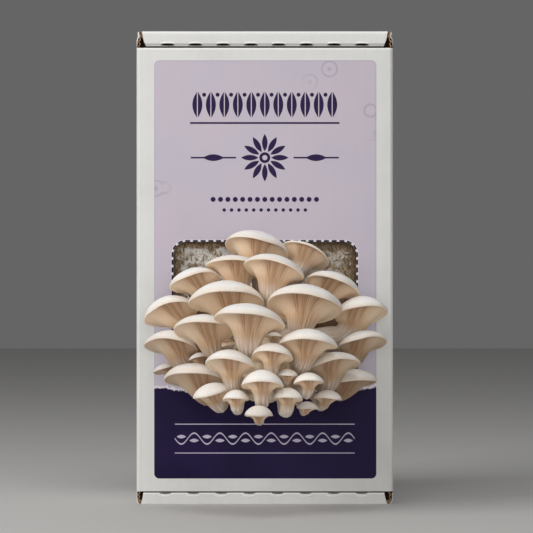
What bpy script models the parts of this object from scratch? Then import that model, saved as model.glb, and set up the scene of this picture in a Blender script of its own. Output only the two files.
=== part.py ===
"""Oyster mushroom grow kit: a flush of oyster mushrooms growing out of a cardboard mailer box.

The box is a corrugated mailer that stands on one end. Its lid faces forward and has a rounded window.
Behind the window lies the block of straw and mycelium, and a lumpy foot grows out of it. Each mushroom
grows from that foot as one piece: cap, gills and stem.

Metres, +Z up, +X to the right, the lid faces -Y. The origin is the middle of the footprint.
"""

import math
from collections import namedtuple

import bmesh
import bpy
from mathutils import Matrix, Quaternion, Vector, noise

MM = 0.001

# Board and box
BOX_WIDTH = 160 * MM
BOX_HEIGHT = 295 * MM
BOX_DEPTH = 95 * MM
BOARD = 3 * MM
GAP = 0.3 * MM
TOP_ROLL = 10.3 * MM
BOTTOM_ROLL = 7.8 * MM
CREASE_RADIUS = 2.6 * MM
CREASE_STEPS = 2
HINGE_LIP = 5 * MM
TUCK_FLAP = 34 * MM
FRONT = -BOX_DEPTH / 2

# Score slots along the rolled ends, and the holes at the mitred corners
SLOT_COUNT = 8
SLOT_PITCH = 17.35 * MM
SLOT_LENGTH = 8.7 * MM
SLOT_HEIGHT = 1.5 * MM
SLOT_DEPTH = 2.2 * MM
SLOT_INSET = 1.1 * MM
CORNER_HOLE_WIDTH = 4.2 * MM
TOP_HOLE_HEIGHT = 6.6 * MM
BOTTOM_HOLE_HEIGHT = 4.8 * MM
CORNER_HOLE_DEPTH = 7 * MM
CORNER_HOLE_INSET = 1.6 * MM
CORNER_HOLE_LEAN = 0.9 * MM

# Window in the lid
WINDOW_WIDTH = 114 * MM
WINDOW_TOP = 163.6 * MM
WINDOW_BOTTOM = 76 * MM
WINDOW_RADIUS = 8 * MM
WINDOW_STEPS = 5

# Block of straw and mycelium, and the lumps of its face behind the window
BLOCK_RECESS = 7 * MM
BLOCK_ROUNDING = 9 * MM
BLOCK_GRID = 10 * MM
BLOCK_LUMP = 1.6 * MM
BLOCK_LUMP_SIZE = 13 * MM
BLOCK_LUMP_SEED = 4
BLOCK_FRONT = FRONT + BOARD + BLOCK_RECESS

# Foot that the stems share: lumps given by centre (across, out of the lid, height) and half sizes, all in
# millimetres, and the neck that joins them to the block
FOOT_LUMPS = (
    ((1, 30, 87), (26, 33, 22)),
    ((-20, 18, 90), (20, 17, 14)),
    ((23, 20, 89), (20, 17, 14)),
    ((0, 14, 108), (22, 15, 20)),
    ((-11, 46, 80), (13, 20, 12)),
    ((14, 45, 82), (14, 20, 13)),
)
NECK_HEIGHT = 100 * MM
NECK_HALF_WIDTH = 30 * MM
NECK_HALF_HEIGHT = 22 * MM
NECK_BACK = BLOCK_FRONT - 2.4 * MM
NECK_FRONT = FRONT - 12 * MM
FOOT_SEGMENTS = 12
FOOT_RINGS = 7

# Shape of a mushroom, as shares of its cap's radius
DOME_ANGLES = (56, 24)
UNDERSIDE = ((0.84, 0.03),)
FUNNEL = ((0.12, 0.62), (0.30, 0.47), (0.55, 0.38), (0.90, 0.29))
FUNNEL_OVAL_ABOVE = 0.4
STEM_SPACING = 13 * MM

Mushroom = namedtuple("Mushroom", "name x out z width tip roll dome stem lean dip deep", defaults=(1,))

# Cap centre in millimetres: across, out of the lid, height. Cap width. Degrees that the cap tips back and
# rolls to the right. Shares of the cap's radius: height of the dome, radius of the stem, and how far the
# stem stands off the middle of the cap, towards the foot. Dip of the stem in millimetres. Depth of the
# funnel beside the usual one.
MUSHROOMS = (
    Mushroom("top_left", -5, 17.4, 158.2, 40, 28, 13, 0.55, 0.22, 0.10, 14, 0.8),
    Mushroom("top_right", 23.8, 7.6, 154.5, 33.4, 32, 18, 0.36, 0.22, 0.00, 30),
    Mushroom("upper_left", -17.8, 33, 146.8, 36, 24, 5, 0.38, 0.34, 0.20, 26),
    Mushroom("upper_middle", 5.5, 51.4, 145.5, 38, 22, 13, 0.47, 0.20, 0.15, 45),
    Mushroom("shoulder_left", -43, 31, 138.3, 31, 26, -13, 0.54, 0.22, 0.35, 20),
    Mushroom("shoulder_right", 41.5, 28, 135.5, 34.5, 24, 15, 0.50, 0.22, 0.35, 20),
    Mushroom("left_large", -23, 50.6, 126.2, 45, 26, 1, 0.56, 0.22, 0.36, 26, 0.8),
    Mushroom("right_large", 24, 60, 123.5, 46.5, 28, 5, 0.56, 0.24, 0.15, 50, 0.6),
    Mushroom("far_left_high", -57.6, 28, 118.8, 33, 33, -12, 0.68, 0.22, 0.45, 14),
    Mushroom("far_right_high", 59, 30, 118.3, 33, 28, -10, 0.70, 0.46, 0.44, 14, 1.3),
    Mushroom("middle", -9, 83, 116, 42, 16, 8, 0.46, 0.20, 0.25, 60),
    Mushroom("left_middle", -36.5, 61.2, 109.5, 36, 28, 1, 0.50, 0.24, 0.42, 26, 0.8),
    Mushroom("far_left_mid", -57, 34, 98.8, 33, 24, 8, 0.60, 0.22, 0.35, 16),
    Mushroom("hidden", 5.5, 66, 106, 10, 12, 0, 0.60, 0.30, 0.00, 12),
    Mushroom("right_middle", 25.5, 80, 101.5, 35, 17, 2, 0.54, 0.26, 0.30, 50, 0.8),
    Mushroom("far_right_mid", 59, 43.2, 100.8, 30, 23, -10, 0.52, 0.22, 0.35, 16),
    Mushroom("centre_small", 4.5, 84, 94.5, 25, 24, 4, 0.66, 0.30, 0.10, 40, 0.6),
    Mushroom("left_bud", -39.5, 43, 92, 13, 18, -8, 0.60, 0.30, 0.00, 16),
    Mushroom("left_front", -20.5, 84, 89.5, 30, 23, 5, 0.62, 0.24, 0.36, 32, 0.75),
    Mushroom("right_front", 41.5, 64, 88.5, 31, 20, -8, 0.52, 0.24, 0.30, 28),
    Mushroom("far_left_bud", -61, 20, 84.5, 16, 14, -15, 0.50, 0.26, 0.30, 10),
    Mushroom("left_low", -42, 54, 80, 37, 22, 6, 0.5, 0.22, 0.62, 8),
    Mushroom("right_bud", 13.4, 79, 83, 13, 12, 0, 0.70, 0.30, 0.00, 30, 0.7),
    Mushroom("right_small", 26, 84, 79.5, 18, 13, -2, 0.68, 0.36, 0.10, 40, 0.7),
    Mushroom("right_low", 53.5, 45.6, 77.8, 28.5, 14, -5, 0.58, 0.24, 0.60, 8),
    Mushroom("centre_front", -1.5, 92, 78, 25, 17, 1, 0.76, 0.34, 0.00, 50, 0.8),
    Mushroom("lower_left", -31, 69.5, 71.7, 24, 5, -12, 0.60, 0.28, 0.15, 26),
    Mushroom("lower_left_small", -17, 86, 69.5, 16, 11, 0, 0.76, 0.40, 0.00, 18, 0.8),
    Mushroom("lower_right_small", 13.5, 88, 70, 18, 12, 3, 0.75, 0.46, 0.00, 24, 0.8),
    Mushroom("lower_right", 37.5, 72, 69.5, 17, 7, 2, 0.62, 0.34, 0.45, 12, 0.8),
    Mushroom("lowest_right", 25.5, 76, 64, 13, 2, 4, 0.65, 0.34, 0.50, 12, 0.7),
    Mushroom("lowest", -3.5, 98, 61, 17, 5, 0, 0.70, 0.34, 0.56, 6, 0.6),
)
CAP_DEPTH = 0.84

# Sides of a mushroom, by the least radius of its cap
SIDES = ((15 * MM, 14), (9.5 * MM, 12), (0, 10))

# Unevenness of a cap's margin: lobes around it, and their share of the radius in width and in height
WIDTH_LOBES = ((2, 0.022), (3, 0.014))
HEIGHT_LOBES = ((2, 0.035), (3, 0.022))
LOBE_TURN = 1.7

# Where the stems aim in the foot: they spread a little with the place of their cap
AIM_OUT = 14 * MM
AIM_HEIGHT = 88 * MM
AIM_SPREAD = 0.33
AIM_SHARE = 0.22
ARRIVAL = 0.5
CURVE_STEPS = 48

# How a stem follows its curve: the length of one step, how far ahead it looks, and how much it may turn for
# each radius that it travels, so that the rings of a wide funnel never cross
STEP = 0.5 * MM
LOOK_AHEAD = 6 * MM
TIGHTNESS = 0.7


def clear_scene():
    """Remove what the scene holds."""
    for obj in list(bpy.data.objects):
        bpy.data.objects.remove(obj, do_unlink=True)


def new_collection(name, shown=True):
    """Make a collection in the scene, kept out of renders if it holds helpers."""
    made = bpy.data.collections.new(name)
    bpy.context.scene.collection.children.link(made)
    made.hide_render = not shown
    return made


def principled(name, colour, roughness):
    """Make a plain material with a colour and a roughness."""
    material = bpy.data.materials.new(name)
    material.use_nodes = True
    shader = material.node_tree.nodes["Principled BSDF"]
    shader.inputs["Base Color"].default_value = (*colour, 1)
    shader.inputs["Roughness"].default_value = roughness
    shader.inputs["Metallic"].default_value = 0
    return material


def new_object(name, bm, collection, material=None):
    """Put a bmesh into a named object, with its faces turned outwards."""
    bmesh.ops.recalc_face_normals(bm, faces=bm.faces)
    mesh = bpy.data.meshes.new(name)
    bm.to_mesh(mesh)
    bm.free()
    obj = bpy.data.objects.new(name, mesh)
    collection.objects.link(obj)
    if material:
        mesh.materials.append(material)
    if collection.hide_render:
        obj.hide_render = True
        obj.display_type = "WIRE"
    return obj


def block_between(low, high):
    """A box between two corners, as a new bmesh."""
    low, high = Vector(low), Vector(high)
    place = Matrix.Translation((low + high) / 2) @ Matrix.Diagonal((*(high - low), 1))
    bm = bmesh.new()
    bmesh.ops.create_cube(bm, size=1, matrix=place)
    return bm


def round_edges(bm, wanted, radius, steps):
    """Bevel the edges whose ends pass a test."""
    edges = [e for e in bm.edges if wanted(*(v.co for v in e.verts))]
    bmesh.ops.bevel(
        bm, geom=edges, offset=radius, segments=steps, profile=0.5, affect="EDGES", material=-1
    )


def is_any_edge(a, b):
    """Whether an edge has a length."""
    return (a - b).length > 0


def is_upright(a, b):
    """Whether an edge runs along Z."""
    return abs(a.z - b.z) > 10 * max(abs(a.x - b.x), abs(a.y - b.y))


def cut(obj, cutter, operation="DIFFERENCE"):
    """Add an exact Boolean to an object."""
    modifier = obj.modifiers.new(f"{operation.lower()} {cutter.name}", "BOOLEAN")
    modifier.operation = operation
    modifier.solver = "EXACT"
    modifier.object = cutter


def rounded_prism(bm, width, low, high, front, back, radius, steps):
    """Add a rounded rectangle of the XZ plane, extruded along Y."""
    place = Matrix.Translation((0, (front + back) / 2, (low + high) / 2))
    made = bmesh.ops.create_cube(
        bm, size=1, matrix=place @ Matrix.Diagonal((width, back - front, high - low, 1))
    )
    inside = set(made["verts"])
    edges = [e for v in made["verts"] for e in v.link_edges if e.other_vert(v) in inside]
    along = [e for e in set(edges) if abs(e.verts[0].co.y - e.verts[1].co.y) > (back - front) / 2]
    bmesh.ops.bevel(bm, geom=along, offset=radius, segments=steps, profile=0.5, affect="EDGES", material=-1)


def score_slots(helpers):
    """Cutters for the score slots: shut ones in the top end, and notches in the edge of the bottom end."""
    bm = bmesh.new()
    top = BOX_HEIGHT - TOP_ROLL + SLOT_INSET
    for low, high in ((top, top + SLOT_HEIGHT), (BOTTOM_ROLL - SLOT_HEIGHT, BOTTOM_ROLL + GAP)):
        for index in range(SLOT_COUNT):
            across = (index - (SLOT_COUNT - 1) / 2) * SLOT_PITCH
            centre = Vector((across, FRONT, (low + high) / 2))
            size = Matrix.Diagonal((SLOT_LENGTH, 2 * SLOT_DEPTH, high - low, 1))
            bmesh.ops.create_cube(bm, size=1, matrix=Matrix.Translation(centre) @ size)
    return new_object("score_slots", bm, helpers)


def corner_holes(helpers):
    """Cutters for the three-sided holes beside the mitred ends of the rolls."""
    bm = bmesh.new()
    ends = (
        (BOX_HEIGHT - TOP_ROLL - GAP, TOP_HOLE_HEIGHT),
        (BOTTOM_ROLL + GAP, -BOTTOM_HOLE_HEIGHT),
    )
    for side in (-1, 1):
        outer = side * (BOX_WIDTH / 2 - CORNER_HOLE_INSET)
        for base, height in ends:
            corners = (
                (outer, base),
                (outer - side * CORNER_HOLE_WIDTH, base),
                (outer - side * CORNER_HOLE_LEAN, base + height),
            )
            face = bm.faces.new([bm.verts.new((x, FRONT - MM, z)) for x, z in corners])
            made = bmesh.ops.extrude_face_region(bm, geom=[face])
            moved = [item for item in made["geom"] if isinstance(item, bmesh.types.BMVert)]
            bmesh.ops.translate(bm, verts=moved, vec=(0, CORNER_HOLE_DEPTH + MM, 0))
    return new_object("corner_holes", bm, helpers)


def box_tray(parts, helpers, material):
    """Back, side walls and the two rolled ends of the mailer, folded from one board."""
    half = BOX_WIDTH / 2
    outer = block_between((-half, FRONT, 0), (half, -FRONT, BOX_HEIGHT))
    round_edges(outer, is_any_edge, CREASE_RADIUS, CREASE_STEPS)
    tray = new_object("box_tray", outer, parts, material)
    low, high = BOTTOM_ROLL, BOX_HEIGHT - TOP_ROLL
    inside = half - BOARD
    hollow = block_between((-inside, FRONT - BOARD, low), (inside, -FRONT - BOARD, high))
    cut(tray, new_object("tray_hollow", hollow, helpers))
    rebate = block_between((-2 * half, FRONT - BOARD, low), (2 * half, FRONT + BOARD + GAP, high))
    cut(tray, new_object("lid_rebate", rebate, helpers))
    crease = block_between((-2 * half, FRONT - BOARD, low), (-inside + MM, FRONT + HINGE_LIP + GAP, high))
    cut(tray, new_object("hinge_rebate", crease, helpers))
    cut(tray, score_slots(helpers))
    cut(tray, corner_holes(helpers))
    return tray


def box_lid(parts, helpers, material):
    """Front panel with its hinge lip, tuck flap and window."""
    half = BOX_WIDTH / 2
    low, high = BOTTOM_ROLL + GAP, BOX_HEIGHT - TOP_ROLL - GAP
    panel = block_between((-half, FRONT, low), (half, FRONT + HINGE_LIP, high))

    def is_front_upright(a, b):
        return is_upright(a, b) and a.y < FRONT + MM

    round_edges(panel, is_front_upright, CREASE_RADIUS, CREASE_STEPS)
    lid = new_object("box_lid", panel, parts, material)
    behind = block_between(
        (-half + BOARD, FRONT + BOARD, low - MM), (2 * half, FRONT + 2 * HINGE_LIP, high + MM)
    )
    cut(lid, new_object("behind_panel", behind, helpers))
    outer = half - BOARD - GAP
    flap = block_between((outer - BOARD, FRONT + BOARD / 2, low + MM), (outer, FRONT + TUCK_FLAP, high - MM))
    cut(lid, new_object("tuck_flap", flap, helpers), "UNION")
    window = bmesh.new()
    rounded_prism(
        window, WINDOW_WIDTH, WINDOW_BOTTOM, WINDOW_TOP,
        FRONT - BOARD, FRONT + 2 * BOARD, WINDOW_RADIUS, WINDOW_STEPS,
    )
    cut(lid, new_object("window", window, helpers))
    return lid


def lumpiness(point, size, seed):
    """Smooth noise between about -1 and 1 that changes over a given size."""
    return noise.noise(point / size + Vector((seed, 0, 0)))


def substrate_block(parts, material):
    """Straw and wood chips bound by mycelium, pressed to the shape of the box."""
    half = BOX_WIDTH / 2 - 2 * BOARD - 3 * GAP
    low, high = BOTTOM_ROLL + 2 * GAP, BOX_HEIGHT - TOP_ROLL - 2 * GAP
    front, back = BLOCK_FRONT, -FRONT - BOARD - GAP
    bm = block_between((-half, front, low), (half, back, high))
    bmesh.ops.bevel(
        bm, geom=bm.edges[:], offset=BLOCK_ROUNDING, segments=2, profile=0.5, affect="EDGES", material=-1
    )
    centre = Vector((0, 0, (WINDOW_TOP + WINDOW_BOTTOM) / 2))
    sides = ((Vector((1, 0, 0)), WINDOW_WIDTH), (Vector((0, 0, 1)), WINDOW_TOP - WINDOW_BOTTOM))
    for normal, length in sides:
        count = round(length / BLOCK_GRID)
        for index in range(count + 1):
            at = centre + normal * length * (index / count - 0.5)
            face = [f for f in bm.faces if f.calc_center_median().y < front + MM]
            geom = face + list({e for f in face for e in f.edges} | {v for f in face for v in f.verts})
            bmesh.ops.bisect_plane(bm, geom=geom, dist=GAP / 100, plane_co=at, plane_no=normal)
    for vert in bm.verts:
        inside_x = abs(vert.co.x) < WINDOW_WIDTH / 2 - MM
        inside_z = WINDOW_BOTTOM + MM < vert.co.z < WINDOW_TOP - MM
        if vert.co.y < front + MM and inside_x and inside_z:
            vert.co.y -= BLOCK_LUMP * (0.5 + lumpiness(vert.co, BLOCK_LUMP_SIZE, BLOCK_LUMP_SEED))
    return new_object("substrate_block", bm, parts, material)


def add_lump(bm, centre, sizes):
    """Add an ellipsoid given in millimetres: across, out of the lid, height."""
    across, out, height = centre
    place = Matrix.Translation((across * MM, FRONT - out * MM, height * MM))
    scale = Matrix.Diagonal((*(size * MM for size in sizes), 1))
    bmesh.ops.create_uvsphere(
        bm, u_segments=FOOT_SEGMENTS, v_segments=FOOT_RINGS, radius=1, matrix=place @ scale
    )


def foot_shape(name, collection, helpers, grow, material=None):
    """The foot that the stems share, or the same grown by a clearance."""
    back = NECK_BACK + grow
    bm = bmesh.new()
    turn = Matrix.Rotation(math.radians(90), 4, "X")
    place = Matrix.Translation((0, (back + NECK_FRONT) / 2, NECK_HEIGHT))
    scale = Matrix.Diagonal((NECK_HALF_WIDTH + grow, 1, NECK_HALF_HEIGHT + grow, 1))
    bmesh.ops.create_cone(
        bm, cap_ends=True, segments=FOOT_SEGMENTS, radius1=1, radius2=1,
        depth=back - NECK_FRONT, matrix=place @ scale @ turn,
    )
    foot = new_object(name, bm, collection, material)
    for index, (centre, sizes) in enumerate(FOOT_LUMPS):
        lump = bmesh.new()
        add_lump(lump, centre, [size + grow / MM for size in sizes])
        cut(foot, new_object(f"{name}_lump_{index}", lump, helpers), "UNION")
    return foot


def cap_axes(mushroom):
    """Across, backward and up directions of a cap that tips back and rolls to the right."""
    tip, roll = math.radians(mushroom.tip), math.radians(mushroom.roll)
    up = Vector((math.sin(roll) * math.cos(tip), math.sin(tip), math.cos(roll) * math.cos(tip)))
    across = Vector((math.cos(roll), 0, -math.sin(roll)))
    return across, up.cross(across), up


def stem_point(start, leave, end, arrive, t):
    """A point of the smooth curve from the cap down to the foot."""
    return (
        start * (2 * t**3 - 3 * t**2 + 1)
        + leave * (t**3 - 2 * t**2 + t)
        + end * (3 * t**2 - 2 * t**3)
        + arrive * (t**3 - t**2)
    )


def foot_aim(centre):
    """The point in the foot that a stem runs towards."""
    height = AIM_HEIGHT + AIM_SPREAD * (centre.z - AIM_HEIGHT)
    return Vector((AIM_SPREAD * centre.x, FRONT - AIM_OUT, height))


def towards_foot(centre, up):
    """The direction in the cap's plane in which the stem stands off its middle."""
    inward = foot_aim(centre) - centre
    return (inward - up * inward.dot(up)).normalized()


def funnel_levels(mushroom):
    """Distances below the cap and radii of the funnel, which is flatter where the stem stands to one side."""
    flatness = mushroom.deep * (1 - (mushroom.lean / CAP_DEPTH) ** 2)
    return [(down * flatness, max(share, mushroom.stem)) for down, share in FUNNEL]


def funnel_share(mushroom, down):
    """Radius of the funnel or the stem at a distance below the cap, all as shares of the cap's radius."""
    levels = [(0, UNDERSIDE[-1][0]), *funnel_levels(mushroom)]
    for (high, wide), (low, narrow) in zip(levels, levels[1:]):
        if down < low:
            return wide + (narrow - wide) * (down - high) / (low - high)
    return mushroom.stem


def stem_walk(mushroom, radius, start, up):
    """Points and directions from the cap down to the foot, turning no faster than the funnel allows."""
    aim = foot_aim(start)
    end = aim.lerp(start, AIM_SHARE)
    arrive = (aim - start).normalized() * (ARRIVAL * (start - end).length)
    leave = -up * (mushroom.dip * MM)
    points = [stem_point(start, leave, end, arrive, i / CURVE_STEPS) for i in range(CURVE_STEPS + 1)]
    length = sum((b - a).length for a, b in zip(points, points[1:]))
    place, heading, travelled = start, -up, 0
    walk = [(place, heading)]
    while travelled < length or (end - place).dot(heading) > 0:
        ahead = min((travelled + LOOK_AHEAD) / length, 1)
        turn = heading.rotation_difference(stem_point(start, leave, end, arrive, ahead) - place)
        inner = min(funnel_share(mushroom, travelled / radius), CAP_DEPTH - mushroom.lean) * radius
        heading = Quaternion(turn.axis, min(turn.angle, TIGHTNESS * STEP / inner)) @ heading
        place = place + heading * STEP
        travelled += STEP
        walk.append((place, heading))
    return walk


def stem_sections(mushroom, radius, centre, inward, up):
    """Centres, directions and radii of the sections down the funnel and the stem."""
    walk = stem_walk(mushroom, radius, centre + inward * (mushroom.lean * radius), up)
    sections = []
    for down, share in funnel_levels(mushroom):
        place, direction = walk[round(down * radius / STEP)]
        outward = max(0, mushroom.lean + share - CAP_DEPTH) * radius
        side = (inward - direction * inward.dot(direction)).normalized()
        sections.append((place - side * outward, direction, share * radius))
    first = round(down * radius / STEP)
    count = max(1, round((len(walk) - first) * STEP / STEM_SPACING))
    for index in range(1, count + 1):
        place, direction = walk[first + (len(walk) - 1 - first) * index // count]
        sections.append((place, direction, mushroom.stem * radius))
    return sections


def lobes(angle, kinds, turn):
    """Sum of the waves around a cap's margin."""
    return sum(size * math.sin(count * angle + count * turn) for count, size in kinds)


def add_ring(bm, centre, axes, width, depth, segments, wave=0.0, turn=0.0):
    """Add one closed ring of vertices, and return it. A wave of 1 gives it the margin's whole unevenness."""
    across, back, up = axes
    ring = []
    for index in range(segments):
        angle = 2 * math.pi * index / segments
        wide = 1 + wave * lobes(angle, WIDTH_LOBES, turn)
        rise = wave * width * lobes(angle, HEIGHT_LOBES, turn + 1)
        offset = across * (wide * width * math.cos(angle)) + back * (wide * depth * math.sin(angle))
        ring.append(bm.verts.new(centre + offset + up * rise))
    return ring


def mushroom_solid(index, mushroom, parts, material, foot_clearance):
    """One mushroom: domed cap, hollowed underside, funnel and bent stem, cut off at the foot."""
    radius = mushroom.width * MM / 2
    segments = next(sides for least, sides in SIDES if radius > least)
    centre = Vector((mushroom.x * MM, FRONT - mushroom.out * MM, mushroom.z * MM))
    axes = cap_axes(mushroom)
    up = axes[2]
    turn = index * LOBE_TURN
    inward = towards_foot(centre, up)
    dome = [math.radians(angle) for angle in (*DOME_ANGLES, 0)]
    cap = [(math.cos(angle), mushroom.dome * math.sin(angle), centre) for angle in dome]
    for share, rise in UNDERSIDE:
        cap.append((share, rise, centre + inward * (mushroom.lean * (1 - share) * radius)))
    bm = bmesh.new()
    rings = []
    for share, rise, middle in cap:
        width = share * radius
        place = middle + up * rise * radius
        rings.append(add_ring(bm, place, axes, width, width * CAP_DEPTH, segments, share**2, turn))
    across, back, heading = axes[0], axes[1], -up
    for place, direction, size in stem_sections(mushroom, radius, centre, inward, up):
        bend = heading.rotation_difference(direction)
        across, back, heading = bend @ across, bend @ back, direction
        depth = size * (CAP_DEPTH if size > FUNNEL_OVAL_ABOVE * radius else 1)
        rings.append(add_ring(bm, place, (across, back, -heading), size, depth, segments))
    pole = bm.verts.new(centre + up * mushroom.dome * radius)
    for a, b in zip(rings[0], rings[0][1:] + rings[0][:1]):
        bm.faces.new((pole, a, b))
    for upper, lower in zip(rings, rings[1:]):
        for side in range(segments):
            after = (side + 1) % segments
            bm.faces.new((upper[side], lower[side], lower[after], upper[after]))
    bm.faces.new(rings[-1])
    obj = new_object(f"mushroom_{mushroom.name}", bm, parts, material)
    cut(obj, foot_clearance)
    obj.data.shade_smooth()
    return obj


def main():
    """Model the kit."""
    clear_scene()
    parts = new_collection("oyster_mushroom_grow_kit")
    helpers = new_collection("cutters", shown=False)
    board = principled("white_board", (0.80, 0.80, 0.79), 0.75)
    print_finish = principled("printed_board", (0.56, 0.51, 0.60), 0.6)
    straw = principled("straw_and_mycelium", (0.62, 0.58, 0.50), 0.9)
    flesh = principled("mushroom_flesh", (0.82, 0.76, 0.68), 0.55)
    foot_flesh = principled("foot_flesh", (0.72, 0.62, 0.50), 0.7)
    box_tray(parts, helpers, board)
    box_lid(parts, helpers, print_finish)
    substrate_block(parts, straw)
    foot_shape("cluster_foot", parts, helpers, 0, foot_flesh)
    clearance = foot_shape("foot_clearance", helpers, helpers, GAP)
    for index, mushroom in enumerate(MUSHROOMS):
        mushroom_solid(index, mushroom, parts, flesh, clearance)


main()
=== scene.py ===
"""Looks of an oyster mushroom grow kit.

A white cardboard mailer stands on one end. Its printed lid has a rounded window, cut along a dashed line.
Behind the window lies straw overgrown with mycelium, and a flush of oyster mushrooms grows out of it: every
mushroom has a domed cap, gills that run down its stem, and a bent stem that joins the others in one foot.

Metres, +Z up, +X to the right, and the lid faces -Y, as in the solids.
"""

import logging
import math
import random
from dataclasses import dataclass, field
from enum import Enum
from itertools import product
from typing import Callable, Iterable, Sequence

import bmesh
import bpy
from bmesh.types import BMesh
from bpy.types import Material, NodeSocket, Object
from mathutils import Matrix, Quaternion, Vector, noise


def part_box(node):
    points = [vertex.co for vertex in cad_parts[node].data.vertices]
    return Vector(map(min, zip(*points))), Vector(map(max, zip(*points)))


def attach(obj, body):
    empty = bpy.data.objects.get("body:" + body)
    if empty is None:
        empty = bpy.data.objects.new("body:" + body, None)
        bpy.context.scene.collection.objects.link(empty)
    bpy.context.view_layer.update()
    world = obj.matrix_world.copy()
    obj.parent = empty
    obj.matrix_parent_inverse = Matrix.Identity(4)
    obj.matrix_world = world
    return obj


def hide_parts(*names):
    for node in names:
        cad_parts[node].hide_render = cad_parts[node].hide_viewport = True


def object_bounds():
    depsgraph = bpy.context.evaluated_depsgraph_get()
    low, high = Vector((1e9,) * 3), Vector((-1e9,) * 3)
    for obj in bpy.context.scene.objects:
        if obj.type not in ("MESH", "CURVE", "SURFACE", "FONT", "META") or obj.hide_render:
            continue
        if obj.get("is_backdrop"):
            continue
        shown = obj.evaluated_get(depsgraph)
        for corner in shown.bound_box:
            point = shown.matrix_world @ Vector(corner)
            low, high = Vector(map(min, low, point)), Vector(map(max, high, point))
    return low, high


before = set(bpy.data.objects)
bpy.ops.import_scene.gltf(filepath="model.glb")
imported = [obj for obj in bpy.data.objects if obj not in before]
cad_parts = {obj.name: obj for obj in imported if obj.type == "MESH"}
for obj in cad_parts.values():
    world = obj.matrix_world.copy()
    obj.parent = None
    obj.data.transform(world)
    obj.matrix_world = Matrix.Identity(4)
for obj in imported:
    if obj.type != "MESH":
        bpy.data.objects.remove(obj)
CAD_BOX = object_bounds()

log = logging.getLogger("grow_kit")

MM = 0.001
FAR = 1.0
ROOT = "root"
Number = "float | Wire"


@dataclass(frozen=True)
class Window:
    """Place of the lid's window, in metres."""

    half: float = 57 * MM
    bottom: float = 76 * MM
    top: float = 163.6 * MM


WINDOW = Window()


# Shader expressions


def maths(operation: str, reflected: bool = False) -> Callable[..., "Wire"]:
    """Make a method that adds a Math node.

    Args:
        operation: The node's operation.
        reflected: Whether the other value comes first, as for an operator's reflected form.

    Returns:
        The method, which gives the node's value.
    """

    def method(self: "Wire", *others: Number) -> "Wire":
        """Add the node, and give its value."""
        values = (*others, self) if reflected else (self, *others)
        return self.paint.node("ShaderNodeMath", {"operation": operation}, dict(enumerate(values)))

    return method


@dataclass(eq=False)
class Wire:
    """A value inside a shader, which Python's operators combine into Math nodes.

    at_least and at_most take the greater and the lesser of two values, and angle takes the angle whose
    tangent is this value over another one.
    """

    paint: "Paint"
    socket: NodeSocket

    __add__ = __radd__ = maths("ADD")
    __sub__ = maths("SUBTRACT")
    __rsub__ = maths("SUBTRACT", reflected=True)
    __mul__ = __rmul__ = maths("MULTIPLY")
    __truediv__ = maths("DIVIDE")
    __pow__ = maths("POWER")
    __abs__ = maths("ABSOLUTE")
    at_least = maths("MAXIMUM")
    at_most = maths("MINIMUM")
    nearest = maths("ROUND")
    sine = maths("SINE")
    angle = maths("ARCTAN2")

    def beside(self, other: Number) -> "Wire":
        """Take the length of the vector that this value and another one make."""
        return (self * self + other * other) ** 0.5

    def cell(self, period: float) -> "Wire":
        """Fold a length into cells of one period, counted from each cell's middle."""
        return self - (self / period).nearest() * period

    def ramp(self, low: float, high: float) -> "Wire":
        """Rise smoothly from 0 at low to 1 at high, where low may be the greater."""
        settings = {"interpolation_type": "SMOOTHSTEP"}
        inputs = {"Value": self, "From Min": low, "From Max": high}
        if low > high:
            inputs.update({"From Min": high, "From Max": low, "To Min": 1.0, "To Max": 0.0})
        return self.paint.node("ShaderNodeMapRange", settings, inputs)


Colour = tuple[float, float, float]
Reach = tuple[float, float]
Outline = Sequence[tuple[float, float]]
Corner = Sequence[float]
Socketed = "float | Colour | Wire"


def srgb(red: int, green: int, blue: int) -> Colour:
    """Turn a colour as a screen gives it, from 0 to 255, into a linear one."""
    return tuple(((c / 255 + 0.055) / 1.055) ** 2.4 if c > 10 else c / 3294 for c in (red, green, blue))


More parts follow.
